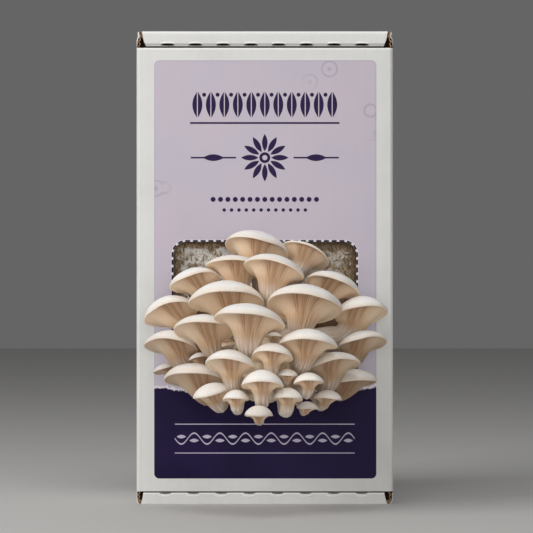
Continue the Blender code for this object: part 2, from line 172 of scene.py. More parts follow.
class Paint:
    """A material under way: a Principled shader, and the nodes that feed it."""

    def __init__(self, name: str) -> None:
        """Start a material of a name."""
        self.material = bpy.data.materials.new(name)
        self.material.use_nodes = True
        self.tree = self.material.node_tree
        self.shader = self.tree.nodes["Principled BSDF"]

    def node(self, kind: str, settings: dict, inputs: dict, output: int | str = 0) -> Wire:
        """Add any node.

        Args:
            kind: The node's type.
            settings: Its properties, which are set first.
            inputs: Values or wires, by the name or number of the socket.
            output: The output that is wanted.

        Returns:
            The node's output.
        """
        made = self.tree.nodes.new(kind)
        for name, value in settings.items():
            setattr(made, name, value)
        for name, value in inputs.items():
            self.feed(made.inputs[name], value)
        return Wire(self, made.outputs[output])

    def feed(self, socket: NodeSocket, value: Socketed) -> None:
        """Link a wire to an input socket, or set the socket to a constant."""
        if isinstance(value, Wire):
            self.tree.links.new(value.socket, socket)
        elif isinstance(value, tuple) and socket.type == "RGBA":
            socket.default_value = (*value, 1.0)
        else:
            socket.default_value = value

    def place(self) -> Wire:
        """Give the point being shaded, in metres."""
        return self.node("ShaderNodeTexCoord", {}, {}, "Object")

    def axis(self, vector: Wire) -> list[Wire]:
        """Split a vector into its three lengths."""
        whole = self.node("ShaderNodeSeparateXYZ", {}, {0: vector})
        return [Wire(self, socket) for socket in whole.socket.node.outputs]

    def attribute(self, name: str, output: str = "Fac") -> Wire:
        """Read a value that the mesh keeps at its points."""
        return self.node("ShaderNodeAttribute", {"attribute_name": name}, {}, output)

    def stretch(self, vector: Wire, scale: Colour) -> Wire:
        """Scale a vector along each axis."""
        return self.node("ShaderNodeVectorMath", {"operation": "MULTIPLY"}, {0: vector, 1: scale})

    def grain(self, vector: Wire, scale: float, detail: float = 2.0, roughness: float = 0.5) -> Wire:
        """Give noise between 0 and 1, centred on about 0.5, with so many lumps to a unit."""
        inputs = {"Vector": vector, "Scale": scale, "Detail": detail, "Roughness": roughness}
        return self.node("ShaderNodeTexNoise", {}, inputs)

    def mix(self, share: Number, first: Socketed, second: Socketed) -> Wire:
        """Blend two colours, from the first at a share of 0 to the second at 1."""
        settings = {"data_type": "RGBA", "blend_type": "MIX"}
        mixed = self.node("ShaderNodeMix", settings, {0: share, 6: first, 7: second})
        return Wire(self, mixed.socket.node.outputs[2])

    def coats(self, colour: Socketed, *coats: tuple[Number, Socketed]) -> Wire:
        """Lay coats over a colour, each given as its share and its own colour."""
        for share, coat in coats:
            colour = self.mix(share, colour, coat)
        return colour

    def bump(self, height: Wire, depth: float, strength: float = 1.0, before: Wire | None = None) -> Wire:
        """Turn a height between 0 and 1 into a surface that is raised by up to a depth in metres."""
        inputs = {"Height": height, "Distance": depth, "Strength": strength}
        if before:
            inputs["Normal"] = before
        return self.node("ShaderNodeBump", {}, inputs)

    def finish(self, **sockets: Socketed) -> Material:
        """Set the shader's sockets.

        Args:
            sockets: Values or wires, by the socket's name with underscores for spaces.

        Returns:
            The finished material.
        """
        for name, value in sockets.items():
            self.feed(self.shader.inputs[name.replace("_", " ")], value)
        return self.material


# Finishes


@dataclass(frozen=True)
class WhiteBoard:
    """Bleached liner of corrugated board, with the flutes showing through a little, painted shade along the
    score line, and painted highlights along the top edges of the lid and the rolls.
    """

    name: str = "white_board"
    colour: Colour = srgb(226, 226, 223)
    shade: Colour = srgb(205, 205, 202)
    # Painted shade of the score line's groove.
    score: Colour = srgb(160, 159, 155)
    # Painted highlight along the top edges of the lid and the rolls.
    fold_highlight: Colour = srgb(253, 253, 252)
    flute: float = 6.4 * MM
    flute_depth: float = 0.05 * MM
    fibre_depth: float = 0.03 * MM
    score_rise: float = 2.1 * MM
    roughness: float = 0.62

    def surface(self, paint: Paint) -> tuple[Wire, Wire]:
        """Paint the board.

        Args:
            paint: The material under way.

        Returns:
            The board's colour and its normal.
        """
        place = paint.place()
        across, through, up = paint.axis(place)
        ribs = ((across + through) * (math.tau / self.flute)).sine() * 0.5 + 0.5
        blotches = paint.grain(place, 38.0, 4.0, 0.6)
        fibres = paint.grain(place, 1400.0, 3.0, 0.7)
        (_, front, low), (_, _, high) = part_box("box_lid")
        over_foot, over_lid, over_roll = up - low, up - high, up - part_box("box_tray")[1].z
        near = (through - front).ramp(1.6 * MM, 1.2 * MM)
        # Painted shade along the score line's groove, on the front only.
        score = abs(over_lid - self.score_rise).ramp(1.1 * MM, 0.3 * MM)
        # Painted highlights along the top edges of the lid, the top roll and the bottom roll, on the front
        # only.
        fold_highlights = over_lid.ramp(-1.3 * MM, -0.7 * MM) * over_lid.ramp(0.4 * MM, 0.2 * MM)
        fold_highlights = fold_highlights.at_least(over_roll.ramp(-1.6 * MM, -1.0 * MM))
        fold_highlights = fold_highlights.at_least(over_foot.ramp(-2.0 * MM, -1.4 * MM) * over_foot.ramp(0.0, -0.2 * MM))
        colour = paint.coats(
            self.colour,
            (blotches.ramp(0.35, 0.75) * 0.3 + ribs * 0.05, self.shade),
            (score * near * 0.75, self.score),
            (fold_highlights * near * 0.8, self.fold_highlight),
        )
        washboard = paint.bump(ribs, self.flute_depth, 0.6)
        return colour, paint.bump(fibres, self.fibre_depth, 0.5, washboard)

    def material(self) -> Material:
        """Make the material."""
        paint = Paint(self.name)
        colour, normal = self.surface(paint)
        return paint.finish(Base_Color=colour, Roughness=self.roughness, Normal=normal)


@dataclass(frozen=True)
class KraftEdge:
    """Raw cut edge of the board: two liners, and a brown flute that waves between them, with painted shade
    in the open channels between them.
    """

    name: str = "kraft_edge"
    liner: Colour = srgb(206, 186, 156)
    flute: Colour = srgb(150, 112, 74)
    # Painted shade in the open channels of the flutes.
    gap: Colour = srgb(40, 26, 15)
    board: float = 3 * MM
    pitch: float = 2.4 * MM
    roughness: float = 0.85

    def material(self) -> Material:
        """Make the material."""
        paint = Paint(self.name)
        place = paint.place()
        across, through, up = paint.axis(place)
        depth = (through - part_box("box_lid")[0].y) / self.board
        wave = ((across + up) * (math.tau / self.pitch)).sine() * 0.34 + 0.5
        flute = abs(depth - wave).ramp(0.22, 0.10)
        liners = abs(depth - 0.5).ramp(0.36, 0.40)
        fibres = paint.grain(place, 900.0, 3.0, 0.6)
        # Painted shade: the open channels between flute and liners are dark, and darker still beyond one
        # board's depth.
        colour = paint.coats(
            self.gap,
            (flute * 0.9, self.flute),
            (liners, self.liner),
            (fibres.ramp(0.45, 0.75) * 0.4, self.flute),
            (depth.ramp(1.0, 2.0) * 0.92, self.gap),
        )
        normal = paint.bump(fibres, 0.1 * MM)
        return paint.finish(Base_Color=colour, Roughness=self.roughness, Normal=normal)


@dataclass(frozen=True)
class BrownPaper:
    """Plain brown paper of the flutes, and of the liner where the white face is broken."""

    name: str = "brown_paper"
    colour: Colour = srgb(206, 172, 134)
    stain: Colour = srgb(128, 88, 54)
    roughness: float = 0.9
    gloss: float = 0.08

    def material(self) -> Material:
        """Make the material."""
        paint = Paint(self.name)
        fibres = paint.grain(paint.place(), 1100.0, 3.0, 0.65)
        colour = paint.mix(fibres.ramp(0.35, 0.7), self.colour, self.stain)
        normal = paint.bump(fibres, 0.08 * MM)
        return paint.finish(
            Base_Color=colour, Roughness=self.roughness, Normal=normal, Specular_IOR_Level=self.gloss
        )


@dataclass(frozen=True)
class PrintedBoard:
    """The lid's face: a rounded lilac panel over a dark foot, parted by a torn edge, with plain motifs.

    Its sizes and places are in millimetres, across from the lid's middle and up from the floor.
    """

    board: WhiteBoard = field(default_factory=WhiteBoard)
    name: str = "printed_board"
    lilac: Colour = srgb(200, 191, 203)
    blush: Colour = srgb(203, 192, 203)
    mist: Colour = srgb(198, 191, 204)
    dark: Colour = srgb(27, 16, 56)
    dark_soft: Colour = srgb(34, 22, 64)
    torn: Colour = srgb(236, 230, 240)
    ink: Colour = srgb(46, 30, 72)
    dash_ink: Colour = srgb(26, 16, 38)
    pale_ink: Colour = srgb(198, 190, 212)
    halo: Colour = srgb(232, 228, 236)
    spore_ink: Colour = srgb(172, 160, 180)
    panel_centre: tuple[float, float] = (0.3, 146.4)
    panel_half: tuple[float, float] = (69.2, 130.3)
    panel_round: float = 3.2
    tear_height: float = 70.6
    tear_rise: float = 3.4
    tear_half: float = 69.0
    window_centre: tuple[float, float] = (0.0, 119.8)
    window_half: tuple[float, float] = (57.55, 44.35)
    window_round: float = 8.5
    dash_period: float = 4.8
    dash_length: float = 3.0
    dash_width: float = 1.0
    soft: float = 0.12

    def rounded(self, x: Wire, z: Wire, centre: tuple, half: tuple, radius: float) -> Wire:
        """Give the distance to a rounded rectangle, in millimetres, less than 0 inside it."""
        right = (abs(x - centre[0]) - (half[0] - radius)).at_least(0.0)
        above = (abs(z - centre[1]) - (half[1] - radius)).at_least(0.0)
        return right.beside(above) - radius

    def leaf(self, u: Wire, v: Wire, length: float, width: float) -> Wire:
        """Draw a pointed leaf along u, with its middle at 0, both sizes being halves."""
        edge = (1.0 - (u / length) ** 2.0) * width - abs(v)
        return edge.ramp(-self.soft, self.soft)

    def frieze(self, x: Wire, z: Wire) -> Wire:
        """Draw a row of upright leaves with a dot between each two, on a thin ground line."""
        step, height, reach = 8.4, 249.0, 46.5
        cell = x.cell(step)
        leaves = self.leaf(z - height, cell, 8.4, 3.1)
        veins = abs(cell).ramp(0.22, 0.38)
        dots = (x + step / 2).cell(step).beside(z - (height + 6.2)).ramp(1.35, 1.15)
        ground = abs(z - (height - 11.4)).ramp(0.66, 0.5)
        between = abs(x).ramp(reach - step / 2 + 0.1, reach - step / 2)
        inside = abs(x).ramp(reach + 0.1, reach)
        return (leaves * veins).at_least(dots * between).at_least(ground) * inside

    def rosette(self, x: Wire, z: Wire) -> Wire:
        """Draw a rosette of petals round a ring, between two rules."""
        height, petals, petal_middle, ring_radius, rule_middle = 216.0, 12, 9.4, 2.5, 32.0
        out = x.beside(z - height)
        turn = (z - height).angle(x).cell(math.tau / petals)
        rays = self.leaf(out - petal_middle, out * turn, 5.4, 1.75)
        ring = abs(out - ring_radius).ramp(1.0, 0.8)
        beyond = abs(x) - rule_middle
        rule = abs(z - height).ramp(0.58, 0.44) * abs(beyond).ramp(14.2, 14.0)
        tips = self.leaf(beyond, z - height, 6.6, 2.1)
        return rays.at_least(ring).at_least(rule).at_least(tips)

    def beads(self, x: Wire, z: Wire) -> Wire:
        """Draw two rows of beads, the lower one shorter."""
        pitch, high, low = 4.6, 190.0, 183.4
        upper = x.cell(pitch).beside(z - high).ramp(1.65, 1.45) * abs(x).ramp(34.6, 34.4)
        lower = (x + pitch / 2).cell(pitch).beside(z - low).ramp(1.2, 1.0) * abs(x).ramp(27.8, 27.6)
        return upper.at_least(lower)

    def border(self, x: Wire, z: Wire) -> Wire:
        """Draw a wave with a leaf in each bend, between two thin rules, for the dark foot."""
        step, height, reach = 16.0, 41.0, 56.0
        wave = (x * (math.tau / step)).sine() * 3.4
        line = abs(z - height - wave).ramp(0.62, 0.34)
        bend = (x - step / 4).cell(step)
        crook = (x + step / 4).cell(step)
        leaves = self.leaf(bend, z - (height - 1.2), 2.9, 1.1).at_least(
            self.leaf(crook, z - (height + 1.2), 2.9, 1.1)
        )
        rules = abs(abs(z - height) - 9.0).ramp(0.36, 0.2)
        return line.at_least(leaves).at_least(rules) * abs(x).ramp(reach + 0.1, reach)

    def dashes(self, x: Wire, z: Wire, edge: Wire) -> Wire:
        """Draw the dashed line round the window.

        Args:
            x: Millimetres to the right.
            z: Millimetres up.
            edge: The distance to the line.

        Returns:
            Where its ink is.
        """
        straight_x = self.window_half[0] - self.window_round
        straight_z = self.window_half[1] - self.window_round
        out = abs(x - self.window_centre[0]) - straight_x
        over = abs(z - self.window_centre[1]) - straight_z
        arc = over.at_least(0.0).angle(out.at_least(0.0001)) * self.window_round
        along = arc + over.at_most(0.0) - out.at_most(0.0)
        broken = abs(along.cell(self.dash_period)).ramp(self.dash_length / 2 + 0.12, self.dash_length / 2)
        return abs(edge).ramp(self.dash_width / 2 + 0.16, self.dash_width / 2 - 0.08) * broken

    def material(self) -> Material:
        """Make the material."""
        paint = Paint(self.name)
        colour, normal = self.board.surface(paint)
        place = paint.place()
        x, through, z = (length / MM for length in paint.axis(place))
        panel = self.rounded(x, z, self.panel_centre, self.panel_half, self.panel_round)
        window = self.rounded(x, z, self.window_centre, self.window_half, self.window_round)
        facing = (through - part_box("box_lid")[0].y / MM).ramp(0.3, 0.2)
        inside = panel.ramp(0.12, -0.12) * facing
        drift = paint.grain(place, 22.0, 2.0)
        sheet = paint.coats(
            self.mist,
            (drift.ramp(0.38, 0.5), self.lilac),
            (drift.ramp(0.5, 0.64), self.blush),
            (self.spores(paint, place, x, z) * 0.6, self.spore_ink),
            (panel.ramp(-1.1, -0.3) * 0.35, self.spore_ink),
            (abs(window).ramp(1.1, 0.5) * 0.85, self.halo),
            (self.frieze(x, z).at_least(self.rosette(x, z)).at_least(self.beads(x, z)), self.ink),
            (self.dashes(x, z, window), self.dash_ink),
        )
        foot = paint.mix(drift.ramp(0.4, 0.6), self.dark, self.dark_soft)
        foot = paint.mix(self.border(x, z), foot, self.pale_ink)
        ragged = paint.grain(place, 300.0, 5.0, 0.75) * 4.4 + paint.grain(place, 60.0, 2.0) * 3.4 - 3.9
        bowl = self.tear_rise * (abs(x) / self.tear_half) ** 4.0
        tear = bowl + self.tear_height + ragged - z
        fuzz = paint.grain(place, 700.0, 4.0, 0.75)
        fringe = (tear + fuzz * 3.0).ramp(0.2, 1.3) * (0.55 + fuzz.ramp(0.35, 0.6) * 0.45)
        sheet = paint.coats(sheet, (fringe, self.torn), ((tear - fuzz * 2.6).ramp(-0.5, -0.15), foot))
        return paint.finish(
            Base_Color=paint.mix(inside, colour, sheet), Roughness=self.board.roughness - inside * 0.12,
            Normal=normal, Specular_IOR_Level=0.12,
        )

    def spores(self, paint: Paint, place: Wire, x: Wire, z: Wire) -> Wire:
        """Scatter faint rings over the panel's upper corners."""
        inputs = {"Vector": place, "Scale": 62.0, "Randomness": 0.9}
        near = paint.node("ShaderNodeTexVoronoi", {"feature": "F1"}, inputs, "Distance")
        rings = abs(near - 0.3).ramp(0.045, 0.02).at_least(near.ramp(0.12, 0.08))
        beside = (0.0 - x - 0.4 * abs(z - 180.0)).ramp(46.0, 62.0)
        corner = (x * 0.9 + (z - 250.0)).ramp(26.0, 56.0).at_least(beside)
        return rings * corner


@dataclass(frozen=True)
class Flesh:
    """Mushroom flesh: a warm white cap, tan gills with painted shade between them, and a paler stem, with
    painted shade low and deep in the flush.
    """

    name: str = "mushroom_flesh"
    cap: Colour = srgb(254, 252, 248)
    cap_shade: Colour = srgb(241, 232, 220)
    margin: Colour = srgb(232, 210, 186)
    rim: Colour = srgb(252, 226, 196)
    gill: Colour = srgb(216, 180, 142)
    valley_shade: Colour = srgb(176, 136, 100)
    streak_and_shade: Colour = srgb(152, 102, 58)
    stem: Colour = srgb(246, 236, 225)
    stem_valley_shade: Colour = srgb(198, 172, 150)
    painted_shade: Colour = srgb(114, 84, 57)
    # Heights, and distances out of the lid and across, between which the painted shade grows from none to
    # full.
    low_up: Reach = (118 * MM, 88 * MM)
    low_out: Reach = (84 * MM, 46 * MM)
    low_right: Reach = (0.0, 45 * MM)
    lowest_up: Reach = (78 * MM, 58 * MM)
    deep_up: Reach = (150 * MM, 142 * MM)
    deep_out: Reach = (28 * MM, 14 * MM)
    deep_across: Reach = (50 * MM, 40 * MM)
    roughness: float = 0.52

    def material(self) -> Material:
        """Make the material."""
        paint = Paint(self.name)
        place = paint.place()
        under = paint.attribute("under").ramp(0.55, 0.95)
        crest = paint.attribute("crest")
        down = paint.attribute("down")
        threads = paint.attribute("threads", "Vector")
        clouds = paint.grain(place, 55.0, 3.0)
        silk, hairs, strands, stains = (
            paint.grain(paint.stretch(threads, (around, around, along)), 1.0, 3.0, 0.6)
            for around, along in ((24.0, 3.0), (22.0, 1.6), (15.0, 0.8), (2.2, 1.2))
        )
        _, towards_back, rise = paint.axis(threads)
        cap = paint.coats(
            self.cap,
            (clouds.ramp(0.4, 0.7) * 0.4 + silk.ramp(0.45, 0.7) * 0.4, self.cap_shade),
            ((rise + (clouds - 0.5) * 0.12).ramp(0.16, 0.01) * 0.5, self.margin),
        )
        low = down.ramp(0.2, 0.6)
        # Lighter near the margin, partly the gills' own colour and partly painted light where the thin
        # margin lets light through.
        ridges = paint.mix(down.ramp(0.03, 0.36), self.rim, paint.mix(low, self.gill, self.stem))
        # Painted shade between the gills, deepening down the funnel and onto the stem.
        valley_shading = (1.0 - crest) * (0.08 + down.ramp(0.08, 0.45) * 0.34 + low * 0.42)
        # Painted shade under each cap's front margin down towards the stem, broken by brown streaks, and
        # just under the margin's front.
        front = (towards_back + (stains - 0.5) * 0.7).ramp(-0.74, -1.03) * down.ramp(0.6, 0.06)
        lip_shade = towards_back.ramp(-0.3, -0.95) * down.ramp(0.3, 0.02)
        waist = stains.ramp(0.42, 0.66) * down.ramp(0.04, 0.3) * (1.0 - low)
        marks = strands.ramp(0.52, 0.64) * down.ramp(0.2, 0.6) * down.ramp(3.0, 1.2)
        gills = paint.coats(
            ridges,
            (valley_shading, paint.mix(low, self.valley_shade, self.stem_valley_shade)),
            (front * (0.42 + hairs.ramp(0.42, 0.6) * 0.44), self.streak_and_shade),
            (lip_shade * 0.3, self.streak_and_shade),
            (hairs.ramp(0.52, 0.66) * waist * 0.4, self.streak_and_shade),
            (marks * (0.14 + stains.ramp(0.4, 0.65) * 0.26), self.streak_and_shade),
        )
        across, through, up = paint.axis(place)
        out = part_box("box_lid")[0].y - through
        # Painted shade: on the lower mushrooms near the lid, more on their undersides and towards the
        # right; on the lowest caps; and deep in the middle of the flush.
        shade_reach = up.ramp(*self.low_up) * out.ramp(*self.low_out)
        shade_strength = 0.14 + under * (0.3 + across.ramp(*self.low_right) * 0.22)
        lowest = up.ramp(*self.lowest_up) * (1.0 - under)
        deep = out.ramp(*self.deep_out) * abs(across).ramp(*self.deep_across) * up.ramp(*self.deep_up)
        colour = paint.coats(
            cap,
            (under, gills),
            (shade_reach * shade_strength, self.painted_shade),
            (lowest * 0.26, self.painted_shade),
            (deep * 0.75, self.painted_shade),
        )
        pits = paint.grain(place, 1500.0, 2.0)
        normal = paint.bump(pits, 0.03 * MM, 0.5, paint.bump(silk, 0.12 * MM, 0.5))
        return paint.finish(
            Base_Color=colour, Roughness=self.roughness, Normal=normal,
            Subsurface_Weight=0.14, Subsurface_Scale=1.4 * MM, Subsurface_Radius=(1.0, 0.6, 0.35),
            Specular_IOR_Level=0.3,
        )


@dataclass(frozen=True)
class FootFlesh:
    """Lumpy flesh where the stems fuse, with straw-coloured stains."""

    name: str = "foot_flesh"
    pale: Colour = srgb(226, 208, 182)
    stain: Colour = srgb(172, 134, 94)
    roughness: float = 0.66

    def material(self) -> Material:
        """Make the material."""
        paint = Paint(self.name)
        place = paint.place()
        stains = paint.grain(place, 120.0, 4.0, 0.6)
        fuzz = paint.grain(place, 900.0, 3.0, 0.6)
        colour = paint.mix(stains.ramp(0.45, 0.72), self.pale, self.stain)
        return paint.finish(
            Base_Color=colour, Roughness=self.roughness, Normal=paint.bump(fuzz, 0.2 * MM),
            Subsurface_Weight=0.2, Subsurface_Scale=2 * MM, Subsurface_Radius=(1.0, 0.6, 0.35),
        )


class Growth(Enum):
    """How far the mycelium has grown over a bit of the substrate."""

    BARE = "bare"
    THIN = "thin"
    THICK = "thick"


@dataclass(frozen=True)
class Substrate:
    """Straw and wood with mycelium over it: browner and barer towards the window's rim, partly real and
    partly painted shade from the lid's edge; browner and darker low behind the flush, and greyer on the
    right, as painted shade.

    The reaches are in millimetres, up and to the right.
    """

    growth: Growth
    bark: Colour = srgb(98, 74, 50)
    straw: Colour = srgb(198, 174, 142)
    web: Colour = srgb(243, 238, 229)
    frost: Colour = srgb(252, 250, 246)
    painted_shade: Colour = srgb(204, 194, 180)
    shadow: Colour = srgb(110, 80, 54)
    bare_shade_up: Reach = (131.0, 124.0)
    shadow_up: Reach = (130.0, 125.0)
    painted_shade_right: Reach = (5.0, 40.0)
    roughness: float = 0.85

    @property
    def cover(self) -> tuple[float, float]:
        """Levels of the noise between which the growth goes from none to full."""
        levels = {Growth.BARE: (0.56, 0.70), Growth.THIN: (0.42, 0.56), Growth.THICK: (0.18, 0.34)}
        return levels[self.growth]

    def material(self) -> Material:
        """Make the material."""
        paint = Paint(f"substrate_{self.growth.value}")
        place = paint.place()
        x, _, z = (length / MM for length in paint.axis(place))
        fibres = paint.grain(paint.stretch(place, (1.0, 1.0, 0.5)), 800.0, 4.0, 0.7)
        patches = paint.grain(place, 150.0, 5.0, 0.7)
        drift = paint.grain(place, 60.0, 2.0)
        specks = paint.grain(place, 1100.0, 2.0).ramp(0.60, 0.70)
        # Painted shade: barer and browner near the window's rim (partly real), bare and dark below the
        # flush, and the mycelium greyer on the right.
        rim = (WINDOW.half / MM - abs(x)).at_most(WINDOW.top / MM - z) + (drift - 0.5) * 8.0
        bare = rim.ramp(6.0, 1.0) * 0.27 + z.ramp(*self.bare_shade_up) * 0.7
        strawy = fibres.ramp(0.35, 0.65) * (1.0 - rim.ramp(4.0, 0.0) * 0.6)
        wood = paint.coats(self.bark, (strawy, self.straw), (z.ramp(*self.shadow_up) * 0.8, self.shadow))
        webbing = paint.coats(
            self.frost, (fibres.ramp(0.35, 0.7), self.web), (x.ramp(*self.painted_shade_right) * 0.75, self.painted_shade)
        )
        colour = paint.coats(
            wood, ((patches - bare).ramp(*self.cover), webbing), (specks * 0.4, self.bark)
        )
        normal = paint.bump(fibres, 0.35 * MM, 0.8)
        return paint.finish(Base_Color=colour, Roughness=self.roughness, Normal=normal)


@dataclass(frozen=True)
class PaleFloor:
    """Plain matt floor."""

    name: str = "pale_floor"
    colour: Colour = srgb(208, 207, 205)

    def material(self) -> Material:
        """Make the material."""
        return Paint(self.name).finish(Base_Color=self.colour, Roughness=0.8)


# Making pieces


def box_between(bm: BMesh, low: Corner, high: Corner) -> None:
    """Add a box to a mesh, between its lowest and its highest corner."""
    low, high = Vector(low), Vector(high)
    place = Matrix.Translation((low + high) / 2) @ Matrix.Diagonal((*(high - low), 1))
    bmesh.ops.create_cube(bm, size=1, matrix=place)


def round_edges(bm: BMesh, wanted: Callable[[Vector, Vector], bool], radius: float, steps: int) -> None:
    """Round a mesh's edges, those between two points that pass a test, in so many segments."""
    edges = [edge for edge in bm.edges if wanted(edge.verts[0].co, edge.verts[1].co)]
    bmesh.ops.bevel(
        bm, geom=edges, offset=radius, segments=steps, profile=0.5, affect="EDGES", material=-1
    )


def piece_of(name: str, bm: BMesh, finish: Material) -> Object:
    """Turn a bmesh into a shown object at the origin.

    Args:
        name: The object's name.
        bm: Its mesh, which is freed.
        finish: Its material.

    Returns:
        The object.
    """
    mesh = bpy.data.meshes.new(name)
    bm.to_mesh(mesh)
    bm.free()
    mesh.materials.append(finish)
    made = bpy.data.objects.new(name, mesh)
    bpy.context.scene.collection.objects.link(made)
    return made


def settle(piece: Object, nodes: Iterable[str] = (), sharp: float = 180.0) -> None:
    """Args:
        piece: The finished piece.
        nodes: The solids that it stands for.
        sharp: The angle, in degrees, above which an edge stays sharp.
    """
    piece.data.shade_smooth()
    if sharp < 180.0:
        piece.data.set_sharp_from_angle(angle=math.radians(sharp))
    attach(piece, ROOT)
    if nodes:
        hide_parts(*nodes)
    log.info("%s: %d faces", piece.name, len(piece.data.polygons))


def carve(piece: Object, *cutters: Object, operation: str = "DIFFERENCE") -> None:
    """Cut a piece with others, apply the cuts and remove the cutters.

    Args:
        piece: The piece that is cut.
        cutters: Closed meshes.
        operation: The Boolean's operation.
    """
    for cutter in cutters:
        modifier = piece.modifiers.new(cutter.name, "BOOLEAN")
        modifier.operation = operation
        modifier.solver = "EXACT"
        modifier.material_mode = "TRANSFER"
        modifier.object = cutter
    bake_modifiers(piece)
    for cutter in cutters:
        bpy.data.objects.remove(cutter, do_unlink=True)


def bake_modifiers(piece: Object) -> None:
    """Replace a piece's mesh with what its modifiers make of it."""
    bpy.context.view_layer.update()
    graph = bpy.context.evaluated_depsgraph_get()
    made = bpy.data.meshes.new_from_object(piece.evaluated_get(graph))
    piece.modifiers.clear()
    piece.data = made


def smooth_step(value: float, low: float, high: float) -> float:
    """Rise smoothly from 0 at low to 1 at high, where low may be the greater."""
    share = min(max((value - low) / (high - low), 0.0), 1.0)
    return share * share * (3 - 2 * share)


def prism(
    bm: BMesh, near_line: Outline, near: float, far: float, far_line: Outline | None = None
) -> None:
    """Add a prism that runs from the front to the back.

    Args:
        bm: The mesh that takes it.
        near_line: Its outline at its front, as x and z.
        near: Where its front is.
        far: Where its back is.
        far_line: Its outline at its back, if that differs.
    """
    fronts = [bm.verts.new((x, near, z)) for x, z in near_line]
    backs = [bm.verts.new((x, far, z)) for x, z in far_line or near_line]
    faces = [bm.faces.new(fronts), bm.faces.new(backs[::-1])]
    for index, vert in enumerate(fronts):
        after = (index + 1) % len(fronts)
        faces.append(bm.faces.new((vert, backs[index], backs[after], fronts[after])))
    bmesh.ops.recalc_face_normals(bm, faces=faces)


def tube(bm: BMesh, line: Outline, through: float, radius: float) -> None:
    """Add a thin tube that tapers to points at both ends.

    Args:
        bm: The mesh that takes it.
        line: Its middle line, as x and z.
        through: How far back it lies.
        radius: Its radius half-way.
    """
    sides = 8
    turns = [math.tau * turn / sides for turn in range(sides)]
    rings = []
    for index, (x, z) in enumerate(line):
        size = radius * max(math.sin(math.pi * index / (len(line) - 1)), 0.05) ** 0.5
        spots = [(x, through + size * math.cos(turn), z + size * math.sin(turn)) for turn in turns]
        rings.append([bm.verts.new(spot) for spot in spots])
    for ring, after in zip(rings, rings[1:]):
        for turn in range(sides):
            other = (turn + 1) % sides
            bm.faces.new((ring[turn], ring[other], after[other], after[turn]))
    bm.faces.new(rings[0][::-1])
    bm.faces.new(rings[-1])


def waved(line: Outline, waves: float, swing: float) -> Outline:
    """Let a line wave from side to side.

    Args:
        line: Its points.
        waves: The number of waves along it.
        swing: How far it swings.

    Returns:
        The waved line, or the same one when there are no waves.
    """
    if not waves:
        return line
    made, steps = [], 28
    for index in range(steps + 1):
        share = index / steps * (len(line) - 1)
        first = min(int(share), len(line) - 2)
        spot = Vector(line[first]).lerp(Vector(line[first + 1]), share - first)
        along = (Vector(line[first + 1]) - Vector(line[first])).normalized()
        sway = swing * math.sin(math.tau * waves * index / steps)
        made.append((spot.x - along.y * sway, spot.y + along.x * sway))
    return made


def ribbon(bm: BMesh, line: Outline, near: float, far: float, thickness: float) -> None:
    """Add a sheet of paper that stands on edge.

    Args:
        bm: The mesh that takes it.
        line: Its middle line, as x and z.
        near: Where its front edge is.
        far: Where its back edge is.
        thickness: The paper's thickness.
    """
    points = [Vector(point) for point in line]
    left, right = [], []
    for index, point in enumerate(points):
        along = points[min(index + 1, len(points) - 1)] - points[max(index - 1, 0)]
        aside = Vector((-along.y, along.x)).normalized() * (thickness / 2)
        left.append(tuple(point + aside))
        right.append(tuple(point - aside))
    for index in range(len(points) - 1):
        after = index + 1
        prism(bm, (left[index], left[after], right[after], right[index]), near, far)


# Mailer


@dataclass(frozen=True)
class SlotRow:
    """A row of score slots along one rolled end: lens-shaped slits, each with a raised lip."""

    name: str
    inset: float
    height: float
    pitch: float
    shift: float
    depth: float
    count: int = 8
    length: float = 8.7 * MM
    lip_radius: float = 0.34 * MM
    lip_tubes: tuple = ((0.4 * MM, 0.22 * MM), (0.8 * MM, 0.06 * MM))

    def centres(self) -> list[float]:
        return [(index - (self.count - 1) / 2) * self.pitch + self.shift for index in range(self.count)]

    def slit(self, across: float, base: float) -> Outline:
        """Draw one slit.

        Args:
            across: Where its middle is.
            base: Height of the roll's edge.

        Returns:
            Its outline.
        """
        start = base + math.copysign(self.inset, self.height)
        if not self.inset:
            start -= self.height * 0.5
        shares = [step / 8 for step in range(9)]
        low = [(across + (share - 0.5) * self.length, start - self.sag(share)) for share in shares]
        high = [(x, start + self.height * self.bulge(share)) for (x, _), share in zip(low, shares)]
        return low + high[::-1]

    def sag(self, share: float) -> float:
        """How far the slit's inner side bends away, at a share of its length."""
        return 0.12 * self.height * math.sin(math.pi * share) if self.inset else 0.0

    def bulge(self, share: float) -> float:
        """How far open the slit is, at a share of its length."""
        return 0.15 + 0.85 * max(math.sin(math.pi * share), 0.0) ** 0.3

    def lip(self, across: float, base: float) -> Iterable[tuple[Outline, float]]:
        """Draw the lip beyond one slit.

        Args:
            across: Where the slit's middle is.
            base: Height of the roll's edge.

        Returns:
            Middle lines of tubes, and how far each stands out.
        """
        start = base + math.copysign(self.inset, self.height)
        shares = [step / 12 for step in range(13)]
        for lift, rise in self.lip_tubes:
            beyond = start + math.copysign(lift, self.height)
            line = [
                (across + (share - 0.5) * self.length * 1.1, beyond + self.height * self.bulge(share))
                for share in shares
            ]
            yield line, rise


@dataclass(frozen=True)
class CornerShape:
    """Open end of a roll beside its mitre, in mm in from the side and up from the roll's edge."""

    hole: Outline
    pinch: Outline
    papers: tuple[tuple[Outline, float, float], ...]
    sheet: float = 0.4

    def wider(self, times: float) -> "CornerShape":
        """Give the same corner, stretched away from the side."""

        def stretch(line: Outline) -> Outline:
            """Stretch one line."""
            return [(inset * times, height) for inset, height in line]

        papers = tuple((stretch(line), *rest) for line, *rest in self.papers)
        return CornerShape(stretch(self.hole), stretch(self.pinch), papers, self.sheet)


